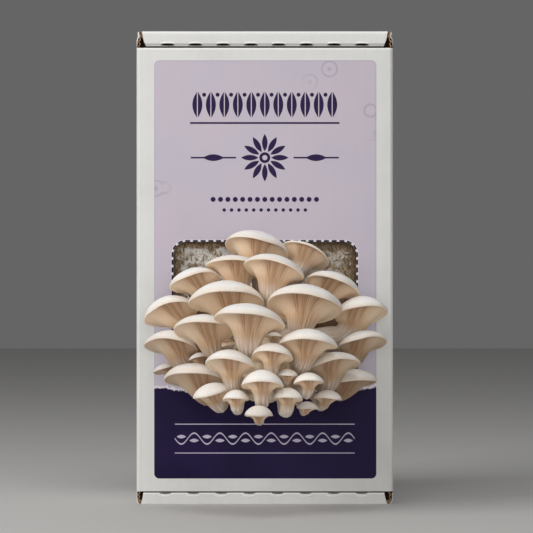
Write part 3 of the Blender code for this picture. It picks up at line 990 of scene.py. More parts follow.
TOP_CORNER = CornerShape(
    hole=(
        (5.9, -1), (5.9, 0), (4.5, 3.4), (3.4, 9.2), (2.6, 9.6), (1.9, 9.2), (1.5, 8.4), (1.7, 7.4),
        (2.3, 6.2), (1.5, 5.2), (1.0, 4.2), (0.6, 2.4), (0.5, 0), (0.5, -1),
    ),
    pinch=(
        (-3, 2.0), (0.0, 2.4), (0.45, 4.4), (0.9, 5.4), (1.75, 6.2), (1.1, 7.2), (0.9, 8.4), (1.3, 9.4),
        (2.2, 10.1), (2.6, 12), (-3, 12),
    ),
    papers=(
        (((1.9, -0.6), (1.7, 2), (2.0, 4.8), (2.6, 6.4)), 3.0, 0.55),
        (((2.9, 5.4), (2.2, 6.8), (2.4, 8.9)), 1.5, 0.35),
        (((3.9, 5.0), (3.3, 7.0), (3.1, 8.9)), 0, 0),
    ),
)
BOTTOM_CORNER = CornerShape(
    hole=(
        (4.4, 1), (4.3, 0), (3.6, -4.0), (3.0, -6.4), (2.3, -7.0), (1.5, -6.6), (0.9, -5.4),
        (0.6, -3.4), (0.5, 0), (0.5, 1),
    ),
    pinch=((-3, -3), (0.0, -3.6), (0.25, -5.2), (1.0, -6.8), (1.9, -7.5), (2.6, -9), (-3, -9)),
    papers=(
        (((1.7, 0.6), (1.5, -2), (1.7, -4.6), (2.1, -6.0)), 3.0, 0.5),
        (((2.9, -4.6), (2.6, -6.0), (2.0, -6.6), (1.4, -6.0), (1.2, -5.0)), 0, 0),
    ),
)


@dataclass
class Mailer:
    """The cardboard box, in two pieces: the tray with its rolled ends, and the printed lid."""

    board: float = 3 * MM
    gap: float = 0.25 * MM
    top_split: float = 1.15 * MM
    bottom_split: float = 0.85 * MM
    crease: float = 2.7 * MM
    foot_crease: float = 0.5 * MM
    crease_steps: int = 6
    hinge_lip: float = 5 * MM
    lid_edge: float = 0.8 * MM
    tuck_flap: float = 34 * MM
    window_round: float = 8 * MM
    slots: tuple[SlotRow, ...] = (
        SlotRow("top", 0.3 * MM, 1.3 * MM, 17.29 * MM, 0.0, 2.6 * MM),
        SlotRow("bottom", 0.0, -1.5 * MM, 17.47 * MM, -0.8 * MM, 0.5 * MM),
    )
    hole_depth: float = 7 * MM
    pinch_depth: float = 34 * MM
    pinch_spread: float = 2.6 * MM
    right_spread: float = 1.3

    def __post_init__(self) -> None:
        """Take the outer sizes from the solids, and make the finishes."""
        self.low, self.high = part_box("box_tray")
        lid_low, lid_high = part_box("box_lid")
        self.roll_bottom = lid_low.z - self.bottom_split
        self.roll_top = lid_high.z + self.top_split
        self.front = self.low.y
        self.half = (self.high.x - self.low.x) / 2
        self.white = WhiteBoard().material()
        self.printed = PrintedBoard().material()
        self.kraft = KraftEdge().material()
        self.paper = BrownPaper().material()
        # Kraft darkened almost to black as painted shade, inside the deep slots and the rolls' open ends.
        self.shaded_inside_paper = BrownPaper("shaded_inside_paper", srgb(72, 52, 36), srgb(20, 12, 8)).material()
        # Kraft darkened as painted shade: in the shallow slots, and on the rebate's faces in the gap
        # between lid and roll.
        self.slit_kraft_and_shade = BrownPaper("slit_kraft_and_shade", srgb(134, 118, 102), srgb(88, 74, 62)).material()
        # Whiter board for the slot lips, as a painted highlight.
        self.edge = WhiteBoard("lip_highlight_board", srgb(250, 250, 248), srgb(240, 240, 237)).material()

    def ends(self) -> Iterable[tuple[float, float, CornerShape]]:
        """List the four mitred corners: the side, the roll's edge and the corner's shape."""
        for side, times in ((-1.0, 1.0), (1.0, self.right_spread)):
            yield side, self.roll_top, TOP_CORNER
            yield side, self.roll_bottom, BOTTOM_CORNER.wider(times)

    def corner_line(self, side: float, base: float, line: Outline) -> list[tuple[float, float]]:
        """Place a corner's line, in mm in from the side and up from the roll's edge, as x and z."""
        return [(side * (self.half - inset * MM), base + height * MM) for inset, height in line]

    def slot_cutter(self, row: SlotRow) -> Object:
        """Make the cutters of a row of score slots, whose walls are raw board darkened as painted shade,
        darkest in the deep ones.
        """
        bm = bmesh.new()
        base = self.roll_top if row.height > 0 else self.roll_bottom
        for across in row.centres():
            prism(bm, row.slit(across, base), self.front - MM, self.front + row.depth)
        finish = self.shaded_inside_paper if row.depth > MM else self.slit_kraft_and_shade
        return piece_of(f"{row.name}_slot_cutter", bm, finish)

    def hole_cutter(self) -> Object:
        """Make the cutters of the open ends of the rolls, beside their mitres."""
        bm = bmesh.new()
        for side, base, shape in self.ends():
            line = self.corner_line(side, base, shape.hole)
            prism(bm, line, self.front - MM, self.front + self.hole_depth)
        return piece_of("hole_cutter", bm, self.shaded_inside_paper)

    def pinch_cutter(self) -> Object:
        """Make the cutters that draw the corners' outer liner in, less and less towards the back."""
        bm = bmesh.new()
        for side, base, shape in self.ends():
            near = self.corner_line(side, base, shape.pinch)
            far = [(x + side * self.pinch_spread, z) for x, z in near]
            prism(bm, near, self.front - MM, self.front + self.pinch_depth, far)
        return piece_of("pinch_cutter", bm, self.white)

    def block(self, name: str, low: Corner, high: Corner, finish: Material | None = None) -> Object:
        """Make a plain block to cut with, which leaves white board, or another finish, where it cuts."""
        bm = bmesh.new()
        box_between(bm, low, high)
        return piece_of(name, bm, finish or self.white)

    def tray(self) -> Object:
        """Make the back, the sides and the rolled ends."""
        bm = bmesh.new()
        box_between(bm, self.low, self.high)
        foot = self.low.z + 0.1 * MM
        round_edges(bm, lambda a, b: max(a.z, b.z) > foot, self.crease, self.crease_steps)
        round_edges(bm, lambda a, b: max(a.z, b.z) < foot, self.foot_crease, 4)
        tray = piece_of("mailer_tray", bm, self.white)
        inside, outside = self.half - self.board, self.front - self.board
        behind, crease = self.front + self.board + self.gap, self.front + self.hinge_lip
        low, high = self.roll_bottom, self.roll_top
        blocks = (
            self.block("hollow", (-inside, outside, low), (inside, self.high.y - self.board, high)),
            # The rebate's faces, white board in the real box, take the dark slit finish as painted shade in
            # the gap between lid and roll.
            self.block("rebate", (-FAR, outside, low), (FAR, behind, high), self.slit_kraft_and_shade),
            self.block("crease", (-FAR, outside, low), (-inside, crease, high)),
        )
        slots = [self.slot_cutter(row) for row in self.slots]
        carve(tray, *blocks, *slots, self.hole_cutter(), self.pinch_cutter())
        return tray

    def lips(self) -> Object:
        """Make the raised board along the outer side of every score slot, in whiter board as a painted
        highlight.
        """
        bm = bmesh.new()
        for row in self.slots:
            base = self.roll_top if row.height > 0 else self.roll_bottom
            for across in row.centres():
                for line, rise in row.lip(across, base):
                    tube(bm, line, self.front + 0.12 * MM - rise, row.lip_radius)
        return piece_of("slot_lips", bm, self.edge)

    def curls(self) -> Object:
        """Make the brown papers, some of them wavy, that show end-on in the open ends of the rolls."""
        bm = bmesh.new()
        for side, base, shape in self.ends():
            for index, (line, waves, swing) in enumerate(shape.papers):
                line = self.corner_line(side, base, waved(line, waves, swing))
                near = self.front + (0.5 + 0.3 * index) * MM
                ribbon(bm, line, near, self.front + self.hole_depth, shape.sheet * MM)
        return piece_of("corner_curls", bm, self.paper)

    def lid(self) -> Object:
        """Make the front panel with its hinge lip, tuck flap and window."""
        bm = bmesh.new()
        low, high = self.roll_bottom + self.bottom_split, self.roll_top - self.top_split
        box_between(bm, (-self.half, self.front, low), (self.half, self.front + self.hinge_lip, high))
        near = self.front + 0.5 * MM
        round_edges(bm, lambda a, b: abs(a.z - b.z) > 0.1 and a.y < near, self.crease, self.crease_steps)
        round_edges(bm, lambda a, b: abs(a.x - b.x) > 0.1 and max(a.y, b.y) < near, self.lid_edge, 4)
        lid = piece_of("mailer_lid", bm, self.printed)
        inside, back = self.half - self.board, self.front + self.board
        deep = self.front + 2 * self.hinge_lip
        carve(lid, self.block("behind", (-inside, back, low - MM), (FAR, deep, high + MM)))
        outer = inside - self.gap
        starts = (outer - self.board, self.front + self.board / 2, low + MM)
        flap = self.block("flap", starts, (outer, self.front + self.tuck_flap, high - MM))
        carve(lid, flap, operation="UNION")
        window = bmesh.new()
        box_between(
            window, (-WINDOW.half, self.front - self.board, WINDOW.bottom),
            (WINDOW.half, back + self.board, WINDOW.top),
        )
        round_edges(window, lambda a, b: abs(a.y - b.y) > self.board, self.window_round, 10)
        carve(lid, piece_of("window_cutter", window, self.kraft))
        return lid

    def build(self) -> None:
        """Make every piece of the mailer."""
        settle(self.tray(), ["box_tray"], sharp=30)
        settle(self.lips(), sharp=60)
        settle(self.curls(), sharp=60)
        settle(self.lid(), ["box_lid"], sharp=30)


# Substrate


@dataclass(frozen=True)
class Scatter:
    """Small blunt bits over the block's face, their sizes from least to greatest in millimetres."""

    name: str
    growth: Growth
    count: int
    seed: int
    length: tuple[float, float]
    width: tuple[float, float]
    thickness: tuple[float, float]
    lean: float


@dataclass
class Block:
    """The block behind the window: its body, and the bits of straw and mycelium that stand out of it."""

    grid: float = 1.5 * MM
    rounding: float = 9 * MM
    lump: float = 1.6 * MM
    lump_size: float = 13 * MM
    lump_seed: float = 4
    nub: float = 1.0 * MM
    nub_size: float = 4.2 * MM
    crumb: float = 0.25 * MM
    crumb_size: float = 1.6 * MM
    lumpy_half: tuple[float, float] = (58.14 * MM, 44.6 * MM)
    grid_margin: float = 1.03
    bit_dent: float = 0.22
    bit_dent_size: float = 0.9 * MM
    scatters: tuple[Scatter, ...] = (
        Scatter("straw_bits", Growth.BARE, 300, 11, (3, 8), (0.6, 1.3), (0.5, 1.0), 24),
        Scatter("mycelium_flakes", Growth.THICK, 640, 12, (1.6, 5), (0.9, 2.6), (0.6, 1.2), 30),
    )

    def __post_init__(self) -> None:
        """Take the block's place from the solids."""
        self.low, self.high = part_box("substrate_block")
        self.face = self.low.y + 1.3 * self.lump

    def surface(self, x: float, z: float) -> float:
        """Give the height of the block's lumpy face in front of its flat level."""
        at = Vector((x, self.face, z))
        broad = noise.noise(at / self.lump_size + Vector((self.lump_seed, 0, 0)))
        near = noise.voronoi(at / self.nub_size)[0][0]
        fine = noise.noise(at / self.crumb_size)
        return self.lump * (0.3 + 0.7 * broad) + self.nub * (0.6 - near) + self.crumb * fine

    def body(self) -> Object:
        """Make the block, with a finely lumped face behind the window."""
        bm = bmesh.new()
        box_between(bm, (self.low.x, self.face, self.low.z), self.high)
        round_edges(bm, lambda a, b: True, self.rounding, 3)
        centre = Vector((0, self.face, (WINDOW.bottom + WINDOW.top) / 2))
        reaches = (Vector((WINDOW.half, 0, 0)), Vector((0, 0, WINDOW.top - centre.z)))
        for reach, side in product(reaches, (-self.grid_margin, self.grid_margin)):
            flat = [face for face in bm.faces if face.calc_center_median().y < self.face + MM]
            geom = flat + list(dict.fromkeys(part for face in flat for part in (*face.edges, *face.verts)))
            bmesh.ops.bisect_plane(
                bm, geom=geom, dist=1e-7, plane_co=centre + reach * side, plane_no=reach.normalized()
            )
        middle = min(bm.faces, key=lambda face: (face.calc_center_median() - centre).length)
        cuts = round(2 * WINDOW.half / self.grid)
        bmesh.ops.subdivide_edges(bm, edges=middle.edges[:], cuts=cuts, use_grid_fill=True)
        for vert in bm.verts:
            x, y, z = vert.co
            inside = min(self.lumpy_half[0] - abs(x), self.lumpy_half[1] - abs(z - centre.z))
            if y < self.face + 0.01 * MM and inside > 0:
                vert.co.y -= self.surface(x, z) * smooth_step(inside, 0, 4 * MM)
        return piece_of("substrate_body", bm, Substrate(Growth.THIN).material())

    def spots(self, count: int, dice: random.Random) -> Iterable[tuple[Vector, float]]:
        """Pick places on the face behind the window.

        Args:
            count: How many.
            dice: The source of chance.

        Yields:
            A place, and how far it is from the window's nearest edge.
        """
        for _ in range(count):
            x = dice.uniform(-WINDOW.half, WINDOW.half)
            z = dice.uniform(WINDOW.bottom, WINDOW.top)
            inside = min(WINDOW.half - abs(x), z - WINDOW.bottom, WINDOW.top - z)
            yield Vector((x, self.face - self.surface(x, z), z)), inside

    def bits(self, scatter: Scatter) -> Object:
        """Scatter small blunt bits over the face.

        Args:
            scatter: What they are, and how many.

        Returns:
            The bits as one piece.
        """
        dice = random.Random(scatter.seed)
        noise.seed_set(scatter.seed)
        sizes = (scatter.length, scatter.width, scatter.thickness)
        bm = bmesh.new()
        for place, inside in self.spots(scatter.count, dice):
            if scatter.growth is Growth.THICK and inside < dice.uniform(1, 9) * MM:
                continue
            length, width, thick = (dice.uniform(*size) * MM for size in sizes)
            turn = Matrix.Rotation(dice.uniform(0, math.pi), 4, "Y")
            tilt, roll = (
                Matrix.Rotation(math.radians(dice.uniform(-scatter.lean, scatter.lean)), 4, axis)
                for axis in "ZX"
            )
            shape = turn @ tilt @ roll @ Matrix.Diagonal((length, thick, width, 1))
            made = bmesh.ops.create_icosphere(
                bm, subdivisions=1, radius=0.5, matrix=Matrix.Translation(place) @ shape
            )
            for vert in made["verts"]:
                dent = noise.noise_vector(vert.co / self.bit_dent_size)
                vert.co += dent * self.bit_dent * width
        return piece_of(scatter.name, bm, Substrate(scatter.growth).material())

    def build(self) -> None:
        """Make the block and its bits."""
        settle(self.body(), ["substrate_block"])
        for scatter in self.scatters:
            settle(self.bits(scatter), sharp=40)


# Mushrooms


@dataclass(frozen=True)
class Growing:
    """Place and shape of one mushroom.

    Millimetres: x across, out of the lid, z up, width of the cap, and dip of the stem. Degrees: tip
    backwards and roll to the right. Shares of the cap's radius: dome, stem, and lean of the stem off the
    cap's middle. Share of the usual depth: deep, for its funnel.
    """

    name: str
    x: float
    out: float
    z: float
    width: float
    tip: float
    roll: float
    dome: float
    stem: float
    lean: float
    dip: float
    deep: float = 1.0


FLUSH = (
    Growing("top_left", -5, 17.4, 158.2, 40, 28, 13, 0.55, 0.22, 0.10, 14, 0.8),
    Growing("top_right", 23.8, 7.6, 154.5, 33.4, 32, 18, 0.36, 0.22, 0.00, 30),
    Growing("upper_left", -17.8, 33, 146.8, 36, 24, 5, 0.38, 0.34, 0.20, 26),
    Growing("upper_middle", 5.5, 51.4, 145.5, 38, 22, 13, 0.47, 0.20, 0.15, 45),
    Growing("shoulder_left", -43, 31, 138.3, 31, 26, -13, 0.54, 0.22, 0.35, 20),
    Growing("shoulder_right", 41.5, 28, 135.5, 34.5, 24, 15, 0.50, 0.22, 0.35, 20),
    Growing("left_large", -23, 50.6, 126.2, 45, 26, 1, 0.56, 0.22, 0.36, 26, 0.8),
    Growing("right_large", 24, 60, 123.5, 46.5, 28, 5, 0.56, 0.24, 0.15, 50, 0.6),
    Growing("far_left_high", -57.6, 28, 118.8, 33, 33, -12, 0.68, 0.22, 0.45, 14),
    Growing("far_right_high", 59, 30, 118.3, 33, 28, -10, 0.70, 0.46, 0.44, 14, 1.3),
    Growing("middle", -9, 83, 116, 42, 16, 8, 0.46, 0.20, 0.25, 60),
    Growing("left_middle", -36.5, 61.2, 109.5, 36, 28, 1, 0.50, 0.24, 0.42, 26, 0.8),
    Growing("far_left_mid", -57, 34, 98.8, 33, 24, 8, 0.60, 0.22, 0.35, 16),
    Growing("hidden", 5.5, 66, 106, 10, 12, 0, 0.60, 0.30, 0.00, 12),
    Growing("right_middle", 25.5, 80, 101.5, 35, 17, 2, 0.54, 0.26, 0.30, 50, 0.8),
    Growing("far_right_mid", 59, 43.2, 100.8, 30, 23, -10, 0.52, 0.22, 0.35, 16),
    Growing("centre_small", 4.5, 84, 94.5, 25, 24, 4, 0.66, 0.30, 0.10, 40, 0.6),
    Growing("left_bud", -39.5, 43, 92, 13, 18, -8, 0.60, 0.30, 0.00, 16),
    Growing("left_front", -20.5, 84, 89.5, 30, 23, 5, 0.62, 0.24, 0.36, 32, 0.75),
    Growing("right_front", 41.5, 64, 88.5, 31, 20, -8, 0.52, 0.24, 0.30, 28),
    Growing("far_left_bud", -61, 20, 84.5, 16, 14, -15, 0.50, 0.26, 0.30, 10),
    Growing("left_low", -42, 54, 80, 37, 22, 6, 0.5, 0.22, 0.62, 8),
    Growing("right_bud", 13.4, 79, 83, 13, 12, 0, 0.70, 0.30, 0.00, 30, 0.7),
    Growing("right_small", 26, 84, 79.5, 18, 13, -2, 0.68, 0.36, 0.10, 40, 0.7),
    Growing("right_low", 53.5, 45.6, 77.8, 28.5, 14, -5, 0.58, 0.24, 0.60, 8),
    Growing("centre_front", -1.5, 92, 78, 25, 17, 1, 0.76, 0.34, 0.00, 50, 0.8),
    Growing("lower_left", -31, 69.5, 71.7, 24, 5, -12, 0.60, 0.28, 0.15, 26),
    Growing("lower_left_small", -17, 86, 69.5, 16, 11, 0, 0.76, 0.40, 0.00, 18, 0.8),
    Growing("lower_right_small", 13.5, 88, 70, 18, 12, 3, 0.75, 0.46, 0.00, 24, 0.8),
    Growing("lower_right", 37.5, 72, 69.5, 17, 7, 2, 0.62, 0.34, 0.45, 12, 0.8),
    Growing("lowest_right", 25.5, 76, 64, 13, 2, 4, 0.65, 0.34, 0.50, 12, 0.7),
    Growing("lowest", -3.5, 98, 61, 17, 5, 0, 0.70, 0.34, 0.56, 6, 0.6),
)


@dataclass
class Station:
    """One ring of a mushroom's profile, in shares of the cap's radius."""

    share: float
    rise: float
    under: float = 0.0
    ridge: float = 0.0
    out: float = 0.0
    lift: float = 0.0


@dataclass
class StemLine:
    """The line of a stem from its cap down into the foot, which turns no faster than the funnel allows.

    It follows a smooth curve that leaves the cap straight down and arrives in the foot.
    """

    start: Vector
    leave: Vector
    end: Vector
    arrive: Vector
    across: Vector
    back: Vector
    width: Callable[[float], float]
    step: float = 0.5 * MM
    look_ahead: float = 6 * MM
    tightness: float = 0.7
    samples: int = 48

    def __post_init__(self) -> None:
        """Walk down the curve, carrying the cap's axes along."""
        points = [self.point(index / self.samples) for index in range(self.samples + 1)]
        length = sum((b - a).length for a, b in zip(points, points[1:]))
        place, across, back, heading = self.start, self.across, self.back, self.leave.normalized()
        self.length = 0.0
        self.stops = [(place, across, back, heading)]
        while self.length < length or (self.end - place).dot(heading) > 0:
            ahead = min((self.length + self.look_ahead) / length, 1)
            turn = heading.rotation_difference(self.point(ahead) - place)
            most = self.tightness * self.step / self.width(self.length)
            bend = Quaternion(turn.axis, min(turn.angle, most))
            across, back, heading = bend @ across, bend @ back, bend @ heading
            place = place + heading * self.step
            self.length += self.step
            self.stops.append((place, across, back, heading))

    def point(self, t: float) -> Vector:
        """Give a point of the smooth curve, for t from 0 to 1."""
        return (
            self.start * (2 * t**3 - 3 * t**2 + 1)
            + self.leave * (t**3 - 2 * t**2 + t)
            + self.end * (3 * t**2 - 2 * t**3)
            + self.arrive * (t**3 - t**2)
        )

    def at(self, distance: float) -> tuple[Vector, Vector, Vector, Vector]:
        """Find the place and the axes at a distance down the line.

        Args:
            distance: Metres from the cap, less than 0 above the line's start.

        Returns:
            The place, and the axes across, back and down.
        """
        if distance <= 0:
            place, across, back, down = self.stops[0]
            return place + down * distance, across, back, down
        index = min(int(distance / self.step), len(self.stops) - 2)
        share = min(distance / self.step - index, 1.0)
        return tuple(a.lerp(b, share) for a, b in zip(self.stops[index], self.stops[index + 1]))


@dataclass
class Mushroom:
    """One mushroom, spun from a profile and bent along its stem, with ridged gills."""

    spec: Growing
    index: int
    front: float
    cap_depth: float = 0.84
    dome_rings: int = 10
    dome_power: float = 1.3
    lip: float = 0.016
    lip_rings: int = 3
    lip_sweep: float = 140
    gill_circle: float = 0.42
    gill_pitch: float = 1.15 * MM
    gill_depth: float = 0.5 * MM
    gill_share: float = 0.03
    gills_a_rib: float = 2.1
    least_gills: int = 22
    steps_a_gill: int = 8
    stem_pitch: float = 3.2 * MM
    throat: tuple = (
        (0.945, -0.006), (0.90, 0.004), (0.84, 0.004), (0.77, -0.018), (0.70, -0.062), (0.625, -0.125),
        (0.55, -0.205), (0.48, -0.305), (0.425, -0.42), (0.380, -0.55), (0.335, -0.72), (0.295, -0.90),
    )
    wide_lobes: tuple = ((2, 0.022), (3, 0.014), (7, 0.003))
    high_lobes: tuple = ((2, 0.033), (3, 0.018), (5, 0.004))
    lobe_turn: float = 1.7
    wander: float = 1.6
    dent: float = 0.02
    dents: float = 2.2
    aim_out: float = 14 * MM
    aim_height: float = 88 * MM
    aim_spread: float = 0.33
    aim_share: float = 0.22

    def __post_init__(self) -> None:
        """Work out the cap's place and axes, and the stem's line."""
        spec = self.spec
        self.radius = spec.width * MM / 2
        self.centre = Vector((spec.x * MM, self.front - spec.out * MM, spec.z * MM))
        tip, roll = math.radians(spec.tip), math.radians(spec.roll)
        self.up = Vector((math.sin(roll) * math.cos(tip), math.sin(tip), math.cos(roll) * math.cos(tip)))
        self.across = Vector((math.cos(roll), 0, -math.sin(roll)))
        self.back = self.up.cross(self.across)
        self.inward = self.aim(self.centre) - self.centre
        self.inward -= self.up * self.inward.dot(self.up)
        self.inward.normalize()
        self.flatness = spec.deep * (1 - (spec.lean / self.cap_depth) ** 2)
        top = self.centre + self.inward * (spec.lean * self.radius)
        aim = self.aim(top)
        end = aim.lerp(top, self.aim_share)
        arrive = (aim - top).normalized() * (0.5 * (top - end).length)
        self.line = StemLine(
            top, -self.up * (spec.dip * MM), end, arrive, self.across, self.back, self.inner_width
        )
        circle = math.tau * self.gill_circle * self.radius
        self.gills = max(self.least_gills, round(circle / self.gill_pitch))
        self.ribs = round(self.gills / self.gills_a_rib)
        self.turn = self.index * self.lobe_turn

    def aim(self, place: Vector) -> Vector:
        """Give the point in the foot that a stem runs towards from a place."""
        rise = self.aim_spread * (place.z - self.aim_height)
        return Vector((self.aim_spread * place.x, self.front - self.aim_out, self.aim_height + rise))

    def throat_share(self, share: float) -> float:
        """Blend a share of the funnel's width into the stem's."""
        return (share**8 + self.spec.stem**8) ** (1 / 8)

    def inner_width(self, distance: float) -> float:
        """Give how far the funnel reaches towards the foot, at a distance down the stem's line."""
        down = distance / (self.radius * self.flatness)
        share = self.throat[-1][0]
        for (wide, high), (narrow, low) in zip(self.throat, self.throat[1:]):
            if down < -low:
                share = wide + (narrow - wide) * max(0.0, (down + high) / (high - low))
                break
        return min(self.throat_share(share), self.cap_depth - self.spec.lean) * self.radius

    def profile(self) -> list[Station]:
        """Give the rings from the cap's crown, over the lip and the gills, down to the stem's end."""
        dome = self.spec.dome
        rings = []
        for index in range(self.dome_rings + 1):
            angle = math.pi / 2 * (1 - index / self.dome_rings)
            rings.append(Station(math.cos(angle), dome * math.sin(angle) ** self.dome_power))
        for index in range(1, self.lip_rings + 1):
            angle = math.radians(self.lip_sweep) * index / self.lip_rings
            share = 1 - self.lip + self.lip * math.cos(angle)
            rings.append(Station(share, -self.lip * math.sin(angle), under=index / self.lip_rings))
        for share, rise in self.throat:
            rings.append(Station(self.throat_share(share), rise * self.flatness))
        lowest = rings[-1].rise
        run = self.line.length / self.radius + lowest
        count = max(2, round(run * self.radius / self.stem_pitch))
        for index in range(1, count + 1):
            rings.append(Station(self.spec.stem, lowest - run * index / count))
        rings.append(Station(0.0, rings[-1].rise))
        first = self.dome_rings + self.lip_rings
        for index in range(first + 1, len(rings) - 1):
            before, here, after = rings[index - 1], rings[index], rings[index + 1]
            slope = Vector((after.share - before.share, after.rise - before.rise)).normalized()
            here.out, here.lift = -slope.y, slope.x
            here.under = 1.0
            here.ridge = 0.12 + 0.88 * smooth_step(here.share, 0.66, 0.36)
            here.ridge *= smooth_step(-here.rise, 1.9, 0.7)
        return rings

    def straight(self, rings: Sequence[Station]) -> BMesh:
        """Spin the profile into a straight mushroom whose points know their ring."""
        bm = bmesh.new()
        ring_of = bm.verts.layers.float.new("ring")
        verts = []
        for index, ring in enumerate(rings):
            vert = bm.verts.new((ring.share, 0, ring.rise))
            vert[ring_of] = index
            verts.append(vert)
        edges = [bm.edges.new(pair) for pair in zip(verts, verts[1:])]
        bmesh.ops.spin(
            bm, geom=verts + edges, cent=(0, 0, 0), axis=(0, 0, 1), dvec=(0, 0, 0),
            angle=math.tau, steps=self.steps_a_gill * self.gills, use_merge=True,
        )
        bmesh.ops.remove_doubles(bm, verts=bm.verts[:], dist=1e-6)
        return bm

    def lobes(self, angle: float, kinds: tuple, turn: float) -> float:
        """Sum the waves around the cap's margin."""
        return sum(size * math.sin(count * angle + count * turn) for count, size in kinds)

    def crest(self, angle: float, share: float) -> float:
        """Give how high a gill stands: ribs down the stem, which fork into long and then short gills."""
        ribs = 0.5 + 0.5 * math.cos(self.ribs * angle + 0.9 * math.sin(3 * angle))
        long = (0.5 + 0.5 * math.cos(self.gills * angle)) ** 1.3
        all_gills = 0.5 + 0.5 * math.cos(2 * self.gills * angle)
        height = ribs + (long - ribs) * smooth_step(share, 0.34, 0.52)
        return height + (all_gills - height) * smooth_step(share, 0.55, 0.80)

    def mesh(self) -> BMesh:
        """Bend the straight mushroom into place, and raise its gills."""
        rings = self.profile()
        bm = self.straight(rings)
        layers = bm.verts.layers
        ring_of = layers.float["ring"]
        under, crest, down = (layers.float.new(name) for name in ("under", "crest", "down"))
        threads = layers.float_vector.new("threads")
        frames = []
        for ring in rings:
            place, across, back, heading = self.line.at(-ring.rise * self.radius)
            room = 0.8 * (1 - ring.share) if ring.under else 0.0
            shift = min(self.spec.lean, room)
            side = (self.inward - heading * self.inward.dot(heading)).normalized()
            place = place - side * ((self.spec.lean - shift) * self.radius)
            depth = 1 + (self.cap_depth - 1) * smooth_step(ring.share, 0.28, 0.55)
            wave = ring.share**2 * (smooth_step(ring.share, 0.5, 0.8) if ring.under else 1.0)
            frames.append((place, across, back, heading, depth, wave))
        relief = min(self.gill_depth, self.gill_share * self.radius)
        for vert in bm.verts:
            index = round(vert[ring_of])
            ring = rings[index]
            place, across, back, heading, depth, wave = frames[index]
            angle = math.atan2(vert.co.y, vert.co.x)
            height = self.crest(angle, ring.share)
            if ring.under:
                at = Vector((3 * math.cos(angle), 3 * math.sin(angle), 1.8 * ring.rise + self.index))
                sway = self.wander * math.tau / self.gills * smooth_step(ring.share, 1.0, 0.7)
                angle += sway * noise.noise(at)
                height *= 0.8 + 0.5 * noise.noise(at * 4)
            push = relief * ring.ridge * (height - 0.5)
            wide = 1 + wave * self.lobes(angle, self.wide_lobes, self.turn)
            reach = wide * ring.share * self.radius + ring.out * push
            lift = wave * ring.share * self.radius * self.lobes(angle, self.high_lobes, self.turn + 1)
            lift += ring.lift * push
            spot = Vector((math.cos(angle), math.sin(angle), ring.rise))
            dents = noise.noise(spot * self.dents + Vector((self.index, 0, 0))) * self.dent * self.radius
            spread = across * math.cos(angle) + back * (depth * math.sin(angle))
            vert.co = place + spread * (reach + dents * ring.share) - heading * lift
            vert[under] = ring.under
            vert[crest] = 1 - ring.ridge * (1 - height)
            vert[down] = max(0.0, -ring.rise)
            vert[threads] = spot
        layers.float.remove(ring_of)
        bmesh.ops.recalc_face_normals(bm, faces=bm.faces[:])
        return bm

    def build(self, finish: Material) -> None:
        """Make the mushroom in the flesh of the flush."""
        name = f"mushroom_{self.spec.name}"
        settle(piece_of(f"{name}_grown", self.mesh(), finish), [name])


@dataclass
class Foot:
    """The lumpy foot that the stems share."""

    voxel: float = 1.4 * MM
    melts: int = 8
    lump: float = 1.3 * MM
    lump_size: float = 7 * MM
    knob_size: float = 3 * MM

    def build(self) -> None:
        """Copy the solid of the foot, melt its lumps together and roughen them."""
        bm = bmesh.new()
        bm.from_mesh(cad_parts["cluster_foot"].data)
        bmesh.ops.remove_doubles(bm, verts=bm.verts[:], dist=1e-6)
        foot = piece_of("fused_foot", bm, FootFlesh().material())
        remesh = foot.modifiers.new("melt", "REMESH")
        remesh.mode = "VOXEL"
        remesh.voxel_size = self.voxel
        bake_modifiers(foot)
        bm = bmesh.new()
        bm.from_mesh(foot.data)
        axes = {f"use_axis_{axis}": True for axis in "xyz"}
        for _ in range(self.melts):
            bmesh.ops.smooth_vert(bm, verts=bm.verts[:], factor=0.5, **axes)
        bm.normal_update()
        for vert in bm.verts:
            swell = noise.noise(vert.co / self.lump_size) + 0.5 * noise.noise(vert.co / self.knob_size)
            vert.co += vert.normal * (self.lump * swell)
        bm.to_mesh(foot.data)
        bm.free()
        settle(foot, ["cluster_foot"])


@dataclass
class Flush:
    """All the mushrooms and their foot."""

    def build(self) -> None:
        """Make the flush."""
        finish = Flesh().material()
        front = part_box("box_lid")[0].y
        Foot().build()
        for index, spec in enumerate(FLUSH):
            Mushroom(spec, index, front).build(finish)


# Studio


@dataclass(frozen=True)
class Lamp:
    name: str
    place: tuple[float, float, float]
    size: float
    power: float
    colour: Colour = (1.0, 1.0, 1.0)

    def hang(self, target: Vector) -> None:
        """Hang the lamp."""
        light = bpy.data.lights.new(self.name, "AREA")
        light.shape = "SQUARE"
        light.size = self.size
        light.energy = self.power
        light.color = self.colour
        lamp = bpy.data.objects.new(self.name, light)
        lamp.location = self.place
        lamp.rotation_euler = (target - lamp.location).to_track_quat("-Z", "Y").to_euler()
        bpy.context.scene.collection.objects.link(lamp)


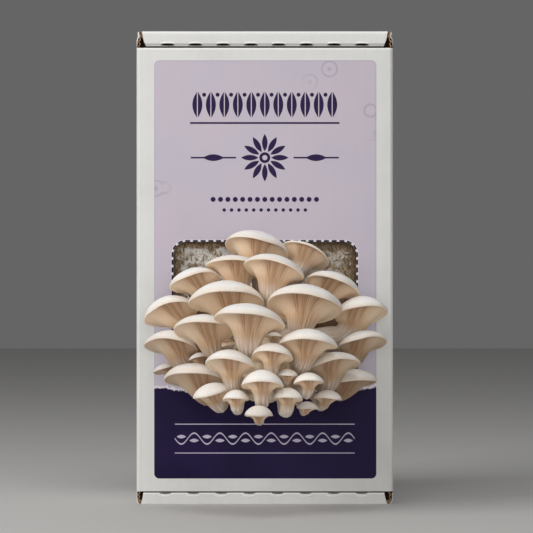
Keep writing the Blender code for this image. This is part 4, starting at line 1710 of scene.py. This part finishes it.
@dataclass
class Studio:
    """Floor, lights and camera."""

    distance: float = 1.6
    aim_x: float = 1.06 * MM
    aim_z: float = 148.2 * MM
    sensor: float = 36.0
    image_width: int = 533
    pixel: float = 0.623 * MM
    floor_size: float = 6.0
    surround: float = 0.13
    lamps: tuple[Lamp, ...] = (
        Lamp("key_lamp", (-1.2, -0.9, 0.9), 0.9, 15.2, (1.0, 0.995, 0.99)),
        Lamp("front_lamp", (0.1, -2.1, 0.3), 0.6, 6.3, (1.0, 0.99, 0.98)),
        Lamp("right_lamp", (0.9, -1.4, 0.6), 1.0, 2.6),
        Lamp("top_lamp", (0.0, -0.5, 1.35), 0.6, 3.8, (1.0, 0.995, 0.985)),
    )

    def floor(self) -> None:
        """Lay the floor."""
        bm = bmesh.new()
        bmesh.ops.create_grid(bm, x_segments=1, y_segments=1, size=self.floor_size / 2)
        floor = piece_of("studio_floor", bm, PaleFloor().material())
        floor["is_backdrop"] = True

    def camera(self) -> None:
        """Set the camera level, straight in front of the lid."""
        data = bpy.data.cameras.new("camera")
        data.sensor_width = self.sensor
        data.lens = self.sensor * self.distance / (self.image_width * self.pixel)
        camera = bpy.data.objects.new("camera", data)
        camera.location = (self.aim_x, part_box("box_lid")[0].y - self.distance, self.aim_z)
        camera.rotation_euler = (math.radians(90), 0, 0)
        bpy.context.scene.collection.objects.link(camera)
        bpy.context.scene.camera = camera

    def light(self) -> None:
        """Hang the lamps, and light the surroundings evenly."""
        world = bpy.data.worlds.new("studio")
        world.use_nodes = True
        shade = world.node_tree.nodes["Background"].inputs
        shade["Color"].default_value = (self.surround,) * 3 + (1.0,)
        bpy.context.scene.world = world
        bpy.context.scene.view_settings.view_transform = "Standard"
        target = Vector((0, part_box("box_lid")[0].y, self.aim_z))
        for lamp in self.lamps:
            lamp.hang(target)

    def build(self) -> None:
        """Set up the studio."""
        self.camera()
        self.floor()
        self.light()


def main() -> None:
    logging.basicConfig(level=logging.INFO, format="%(name)s %(message)s")
    Studio().build()
    Mailer().build()
    Block().build()
    Flush().build()
    boxes = {"cad": CAD_BOX, "visual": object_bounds()}
    boxes = {name: [list(corner) for corner in box] for name, box in boxes.items()}


if __name__ == "__main__":
    main()
